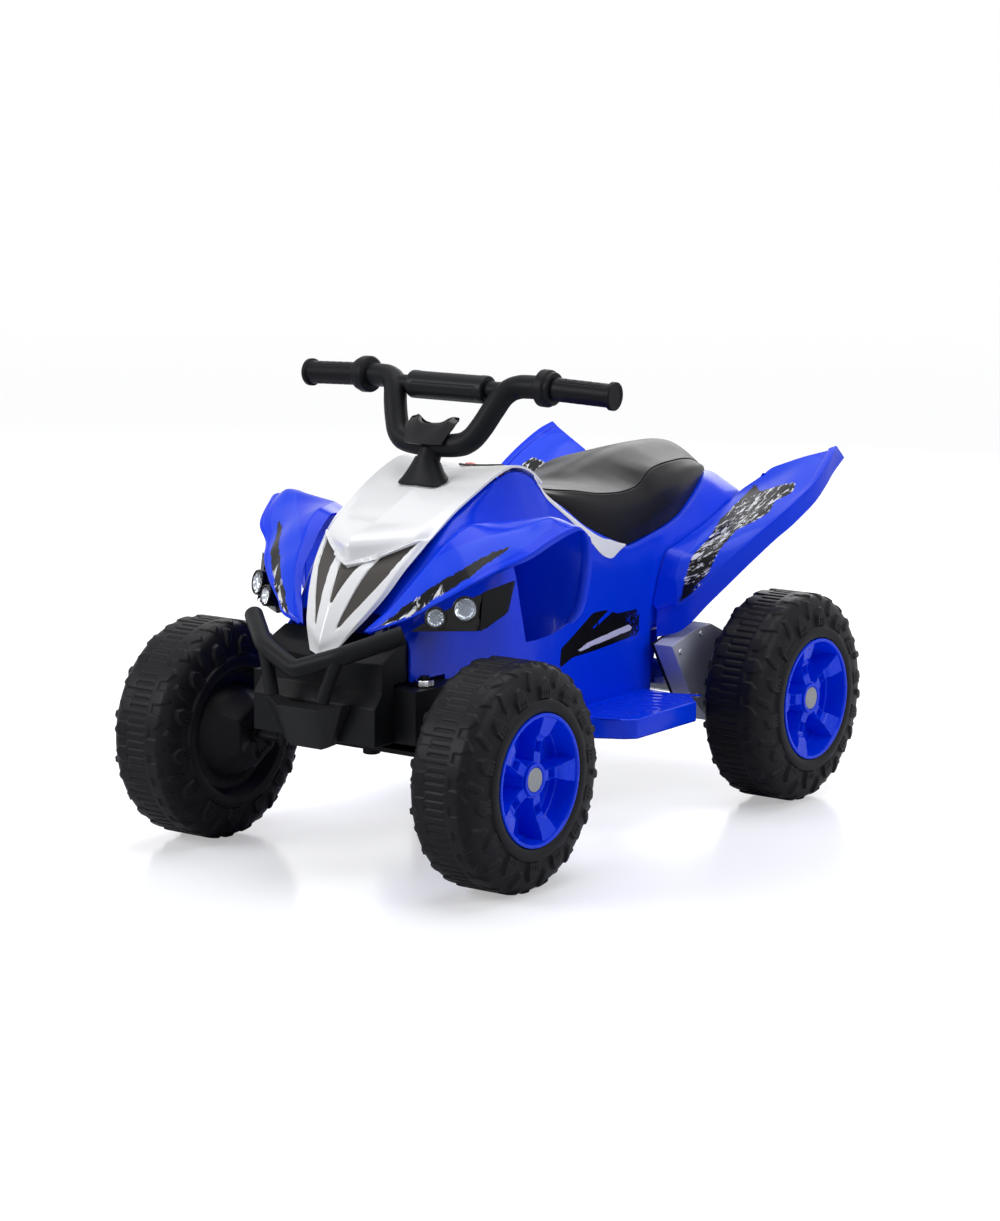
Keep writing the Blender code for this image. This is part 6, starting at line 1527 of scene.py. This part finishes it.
# %% Bent tube and drums
BAR_HALF = [(0, 131, 293), (20, 131, 293.8), (36, 132.5, 296), (46, 136, 302), (54, 142, 314),
            (62, 150, 331), (69, 159, 346), (77, 165, 352.5), (88, 168, 354.8), (107.5, 169.6, 355)]
BAR_RADIUS = 0.012
CROSS_HALF = (66, 161.5, 349.5)
CROSS_MIDDLE = (0, 161.5, 349.5)
BAR_TURNS_OUT = (106.5, 169.6, 355)
BAR_END = (194, 174, 351.5)
STEER_BASE = from_front((0, 131, 293))
STEER_RAKE = math.radians(25)
STEER_AXIS = np.array([0.0, math.sin(STEER_RAKE), math.cos(STEER_RAKE)])
DRUM = [(0.0, 0), (0.0, 12.2), (0.6, 16.6), (2.0, 18.6), (3.4, 19.0), (10.6, 19.0), (11.8, 18.6),
        (12.2, 17.4), (12.6, 17.0), (15.8, 17.0), (17.0, 16.4), (17.4, 15.0), (17.4, 0)]
CLAMP = [(-26, 0), (-26, 10.8), (-25.2, 11.5), (-5, 12.4), (-4, 12.0), (-4, 0)]
GRIP_START = 18.0
GRIP_RADII = [(0, 11.2), (0.4, 11.8), (1, 12), (64, 12), (64.8, 12.9), (65.4, 14.4), (69.2, 14.4),
              (69.7, 14.1), (70, 13.2)]
GRIP_END_RADII = [13.2, 10.6, 10.0, 0.0]
GRIP_SLOTS = np.arange(14, 56, 9.2)
PAD_RADIUS, PAD_BORE = 14.5, 9.35

half = np.array(BAR_HALF, float)
whole = np.concatenate([mirror(half, -1)[::-1], half[1:]])
bar_line = from_front(through(whole[:, None, :], 6)[:, 0])
tube("bar_tube", bar_line, BAR_RADIUS, frame_black, "steering", ["handlebar"], 40)
cross = from_front([mirror(CROSS_HALF, -1), CROSS_MIDDLE, CROSS_HALF])
tube("cross_tube", cross, 0.009, frame_black, "steering", sides=32)
revolve("bar_clamp", eased(np.array(CLAMP) * MM, 0.0006), 40, STEER_BASE, STEER_AXIS, frame_black,
        "steering")
bar_ahead = np.array(BAR_END, float) - BAR_TURNS_OUT
bar_ahead /= np.linalg.norm(bar_ahead)


def make_grip(word, side):
    """Radius over (along, turn): a 12 mm barrel less the slots, plus the flange at its end."""
    axis = frame_on(mirror(bar_ahead, side))[0]
    corner = from_front(mirror(BAR_TURNS_OUT, side))
    start = corner + axis * GRIP_START * MM
    along = np.concatenate([[0, 0, 0.4], np.arange(1, 64, 0.6),
                            [64.2, 64.8, 65.4, 66.4, 68, 69.2, 69.7, 70, 70, 70, 69.4, 69.4]])
    plain = np.interp(along, *np.array(GRIP_RADII).T)
    plain[-4:] = GRIP_END_RADII
    s, t = np.meshgrid(along, full_turn(120), indexing="ij")
    radius = np.repeat(plain[:, None], s.shape[1], 1)
    for middle in (math.pi / 2, -math.pi / 2):
        swing = (t - middle + math.pi) % (2 * math.pi) - math.pi
        for place in GRIP_SLOTS:
            cut = np.minimum(0.9 - np.abs(s - place), 7.4 - np.abs(swing) * 12)
            radius = radius - 0.8 * lift(cut, 0.9)
        line = np.minimum(0.6 - np.abs(np.abs(swing) * 12 - 8.6), 26.0 - np.abs(s - 32.4))
        radius = radius - 0.5 * lift(line, 0.7)
    radius[0] = 0
    points = about_axis(start, axis, s * MM, radius * MM, t)
    piece(f"grip_sleeve_{word}", points, tipped_faces(*s.shape, (0, -1)), grip_black, "steering",
          [f"grip_{word}"], sharp=40)
    revolve(f"bar_drum_{word}", eased(np.array(DRUM) * MM, 0.0003), 64, corner, axis, frame_black,
            "steering")


for word, side in SIDES:
    make_grip(word, side)


def make_pad():
    """The sleeve's radius over (along, turn), with two shallow panels and eased ends."""
    along = np.concatenate([[-48, -48, -47.7, -46.8], np.linspace(-45.5, 45.5, 92),
                            [46.8, 47.7, 48, 48]])
    plain = np.full(len(along), PAD_RADIUS)
    plain[:4] = plain[:-5:-1] = [9.4, 12.9, 13.9, 14.4]
    turn = full_turn(96)
    s, t = np.meshgrid(along, turn, indexing="ij")
    radius = np.repeat(plain[:, None], len(turn), 1)
    for middle in (0.6, -2.0):
        swing = np.abs((t - middle + math.pi) % (2 * math.pi) - math.pi) * PAD_RADIUS
        panel = np.minimum(40 - np.abs(s), 10.5 - swing)
        radius = radius - 0.45 * lift(panel, 1.2)
    bore = np.full((1, len(turn)), PAD_BORE)
    ends = np.full((1, len(turn)), 47.4)
    rows = np.concatenate([np.stack([level, reach * np.sin(turn), reach * np.cos(turn)], -1)
                           for level, reach in ((s, radius), (ends, bore), (-ends, bore))])
    faces = grid_faces(len(rows), len(turn), closed_rows=True, closed_columns=True)
    piece("pad_sleeve", rows * MM + from_front(CROSS_MIDDLE), faces, pad_black, "steering",
          ["crossbar_pad"], sharp=40)


make_pad()
SHIELD_ROWS = [
    [(23.4, 114, 296), (14, 112, 296), (6, 111, 296), (0, 111, 296)],
    [(26, 120, 304.5), (15, 118, 304), (7, 117.5, 303.5), (0, 117.5, 303.5)],
    [(29, 128, 314), (17, 124, 312), (8, 123.5, 310.5), (0, 123.5, 310)],
    [(29.5, 136, 320), (20, 131, 319), (9, 129, 315.5), (0, 128.5, 315)],
    [(27, 141, 321.5), (21, 136.5, 323), (10, 133, 316.5), (0, 132.5, 315.5)],
]
shield = from_front([row + [(-x, y, z) for x, y, z in row[-2::-1]] for row in SHIELD_ROWS])
shield = rounded(through(shield, 6), np.array([0, 5, 4, 3, 4, 5, 0]) * MM, 4, 5)
skin("shield_moulding", shield, 0.002, from_front((0, 150, 290)), gloss_black, "steering",
     ["bar_shield"])
print("bar pieces ready")

# %% [markdown]
# ## Boot and dash controls
# A squared skirt covers the column where it leaves the dash.  Beside it a red rocker sits in a
# black frame, and a horn button in a ring.

# %% Heights on the dash
DASH_LINE = COWL_CURVE[8 * COWL_STEPS:]
DASH_RING_POINTS = 64
BOOT_FOOT_Y, BOOT_FOOT_HALF, BOOT_FOOT_STAND = 116, (27, 14), 2.8
BOOT_NECK_PLACE, BOOT_NECK_RADIUS = -0.0165, 0.0138


def dash_height(x, y):
    """The cowl's height in millimetres at a point of the dash, without its raised forms."""
    middle, edge = DASH_LINE[:, 1], DASH_LINE[:, 0]
    far = np.interp(y, edge[:, 1], edge[:, 0])
    share = np.minimum(np.abs(x) / far, 1.0)
    low = np.interp(y, middle[:, 1], middle[:, 2])
    return low + (np.interp(y, edge[:, 1], edge[:, 2]) - low) * share


def make_boot():
    """Rings from a squared foot on the cowl to a round neck, with a small flange at the foot."""
    turn = full_turn(72)
    c, s = np.cos(turn), np.sin(turn)
    squared = np.maximum(np.abs(c), np.abs(s)) ** -0.5
    x = BOOT_FOOT_HALF[0] * c * squared
    y = BOOT_FOOT_Y + BOOT_FOOT_HALF[1] * s * squared
    foot = from_front(np.stack([x, y, dash_height(x, y) + BOOT_FOOT_STAND], -1))
    back = np.array([0.0, STEER_AXIS[2], -STEER_AXIS[1]])
    ring = c[:, None] * np.array([1.0, 0, 0]) + s[:, None] * back
    neck = STEER_BASE + STEER_AXIS * BOOT_NECK_PLACE + BOOT_NECK_RADIUS * ring
    rows = []
    for share in (0.0, 0.03, 0.08, 0.2, 0.4, 0.6, 0.8, 0.93, 1.0):
        bow = np.array([0, 0, 0.0045]) * share * (1 - share)
        rows.append(foot + (neck - foot) * share - bow)
    rows = np.array(rows)
    rows[0] += (rows[0] - rows[0].mean(0)) * 0.02
    skin("boot_skirt", rows, 0.0016, STEER_BASE + STEER_AXIS * -0.035, frame_black, "chassis",
         ["steering_boot"], closed_columns=True)


def squared_ring(centre, half_x, half_y, corner):
    """An outline with round corners in the plane of the dash, as (x, y) in millimetres."""
    turn = (np.arange(DASH_RING_POINTS) + 0.5) * 2 * math.pi / DASH_RING_POINTS
    c, s = np.cos(turn), np.sin(turn)
    x = np.sign(c) * (half_x - corner) + corner * c
    y = np.sign(s) * (half_y - corner) + corner * s
    return np.stack([centre[0] + x, centre[1] + y], -1)


def make_frame(name, centre, half_x, half_y, rim, stand):
    """A thin frame on the dash: outlines that rise and fall again, joined into a closed ring."""
    rows = []
    for grow, rise in ((rim, 0.15), (rim, stand * 0.7), (rim * 0.75, stand), (rim * 0.2, stand),
                       (0.0, stand * 0.75), (0.0, 0.15)):
        line = squared_ring(centre, half_x + grow, half_y + grow, 2.0 + grow)
        rows.append(np.concatenate([line, dash_height(*line.T)[:, None] + rise], 1))
    rows = from_front(rows)
    faces = grid_faces(len(rows), rows.shape[1], closed_rows=True, closed_columns=True)
    piece(name, rows, faces, insert_dark, "chassis")


make_boot()
make_frame("switch_frame", SWITCH_WELL[:2], 6.8, 10.2, 3.2, 1.7)
make_frame("horn_frame", BUTTON_WELL[:2], 7.0, 7.0, 3.0, 1.4)
t, s = np.meshgrid(np.linspace(11, 27, 18), np.linspace(186, 206, 12), indexing="ij")
panel = from_front(np.stack([t, s, dash_height(t, s) + 1.5], -1))
skin("dash_plate", panel, 0.0012, from_front((20, 195, 100)), insert_dark, "chassis")
softened("rocker_switch", "rocker_cap", switch_red, 0.0008)
BUTTON = [(-8, 0), (-8, 6), (0.8, 6.0), (1.6, 5.5), (2.1, 4.0), (2.2, 2.4), (1.9, 1.2), (1.8, 0)]
revolve("horn_cap", eased(np.array(BUTTON) * MM, 0.0002), 48, from_front((*BUTTON_WELL[:2], 266.2)),
        (0, 0, 1), switch_red, "horn", ["horn_button"])
print("dash height at the rocker:", round(float(dash_height(*SWITCH_WELL[:2])), 1))

# %% [markdown]
# ## Bumper, pins and small steel
# The guard is a thick tube bent to a V with two posts.  The kingpins' nuts and tips and the
# screws are bright steel.  A hexagon nut is just a turned section with six steps.

# %% Guard and pins
GUARD_RADIUS = 0.0094
GUARD_POST = [(45, -80, 108), (38.2, -83, 88), (31.5, -86, 66)]
KINGPIN_OFFSET = 90
GUARD = [(94, -39, 132), (48, -77.8, 111.5), (0, -89.5, 95), (-48, -77.8, 111.5), (-94, -39, 132)]
guard = rounded(from_front(GUARD)[None], [0, 0.012, 0.007, 0.012, 0], 8, 8)[0]
tube("guard_tube", guard, GUARD_RADIUS, frame_black, "chassis",
     ["front_bumper"], 36)
for word, side in SIDES:
    post = from_front(mirror(GUARD_POST, side))
    tube(f"guard_post_{word}", post, (0.0072, 0.0066, 0.0070), frame_black, "chassis",
         sides=28)
tube("guard_stub", from_front([(0, -86, 96), (0, -52, 96)]), 0.0062, frame_black, "chassis",
     sides=24)
NUT = [(75.6, 0), (75.6, 8.6), (76.4, 9.4), (81.2, 9.4), (82.0, 8.6), (82.0, 0)]
PIN_TOP = [(81.9, 0), (81.9, 4.6), (84.4, 4.6), (85.0, 4.0), (85.0, 0)]
for word, side in SIDES:
    spot = from_front((KINGPIN_OFFSET * side, 0, 0))
    revolve(f"kingpin_nut_{word}", np.array(NUT) * MM, 6, spot, (0, 0, 1), steel_bright,
            f"knuckle_{word}", sharp=20)
    revolve(f"kingpin_tip_{word}", np.array(PIN_TOP) * MM, 32, spot, (0, 0, 1), steel_bright,
            f"knuckle_{word}")
SCREWS = [(-92, 52), (-58, -2), (8, -30), (30, -12), (12, 48), (-52, 66)]
SCREW = [(-0.3, 0), (-0.3, 3.1), (0.9, 3.1), (1.5, 2.5), (1.6, 1.5), (0.8, 1.2), (0.8, 0)]
for k, (y, height) in enumerate(SCREWS):
    revolve(f"gearbox_screw_{k}", np.array(SCREW) * MM, 24, from_rear((122, y, height)),
            (1, 0, 0), steel_bright, "chassis")
print("pieces:", len(PIECES))

# %% [markdown]
# ## The solids that stay
# Parts that are mostly hidden keep their solids, each with the finish of its own material.

# %% Finishes for the solids that stay
LOOK_OF_SLOT = {
    "blue_shell": shell_blue, "white_shell": cowl_white, "black_frame": frame_black,
    "seat_plastic": seat_black, "grey_insert": insert_dark, "wheel_plastic": tyre_black,
    "rim_blue": rim_blue, "cap_grey": cap_grey, "gearbox_grey": gearbox_grey,
    "lens_clear": lens_clear, "steel": steel_bright, "gear_plastic": gear_nylon,
    "switch_red": switch_red, "battery_case": battery_dark,
}
for name, node in NODES.items():
    look = LOOK_OF_SLOT[SLOT_OF[name]]
    if node.material_slots:
        for place in node.material_slots:
            place.material = look
    else:
        node.data.materials.append(look)

# %% Update the scene
bpy.context.view_layer.update()
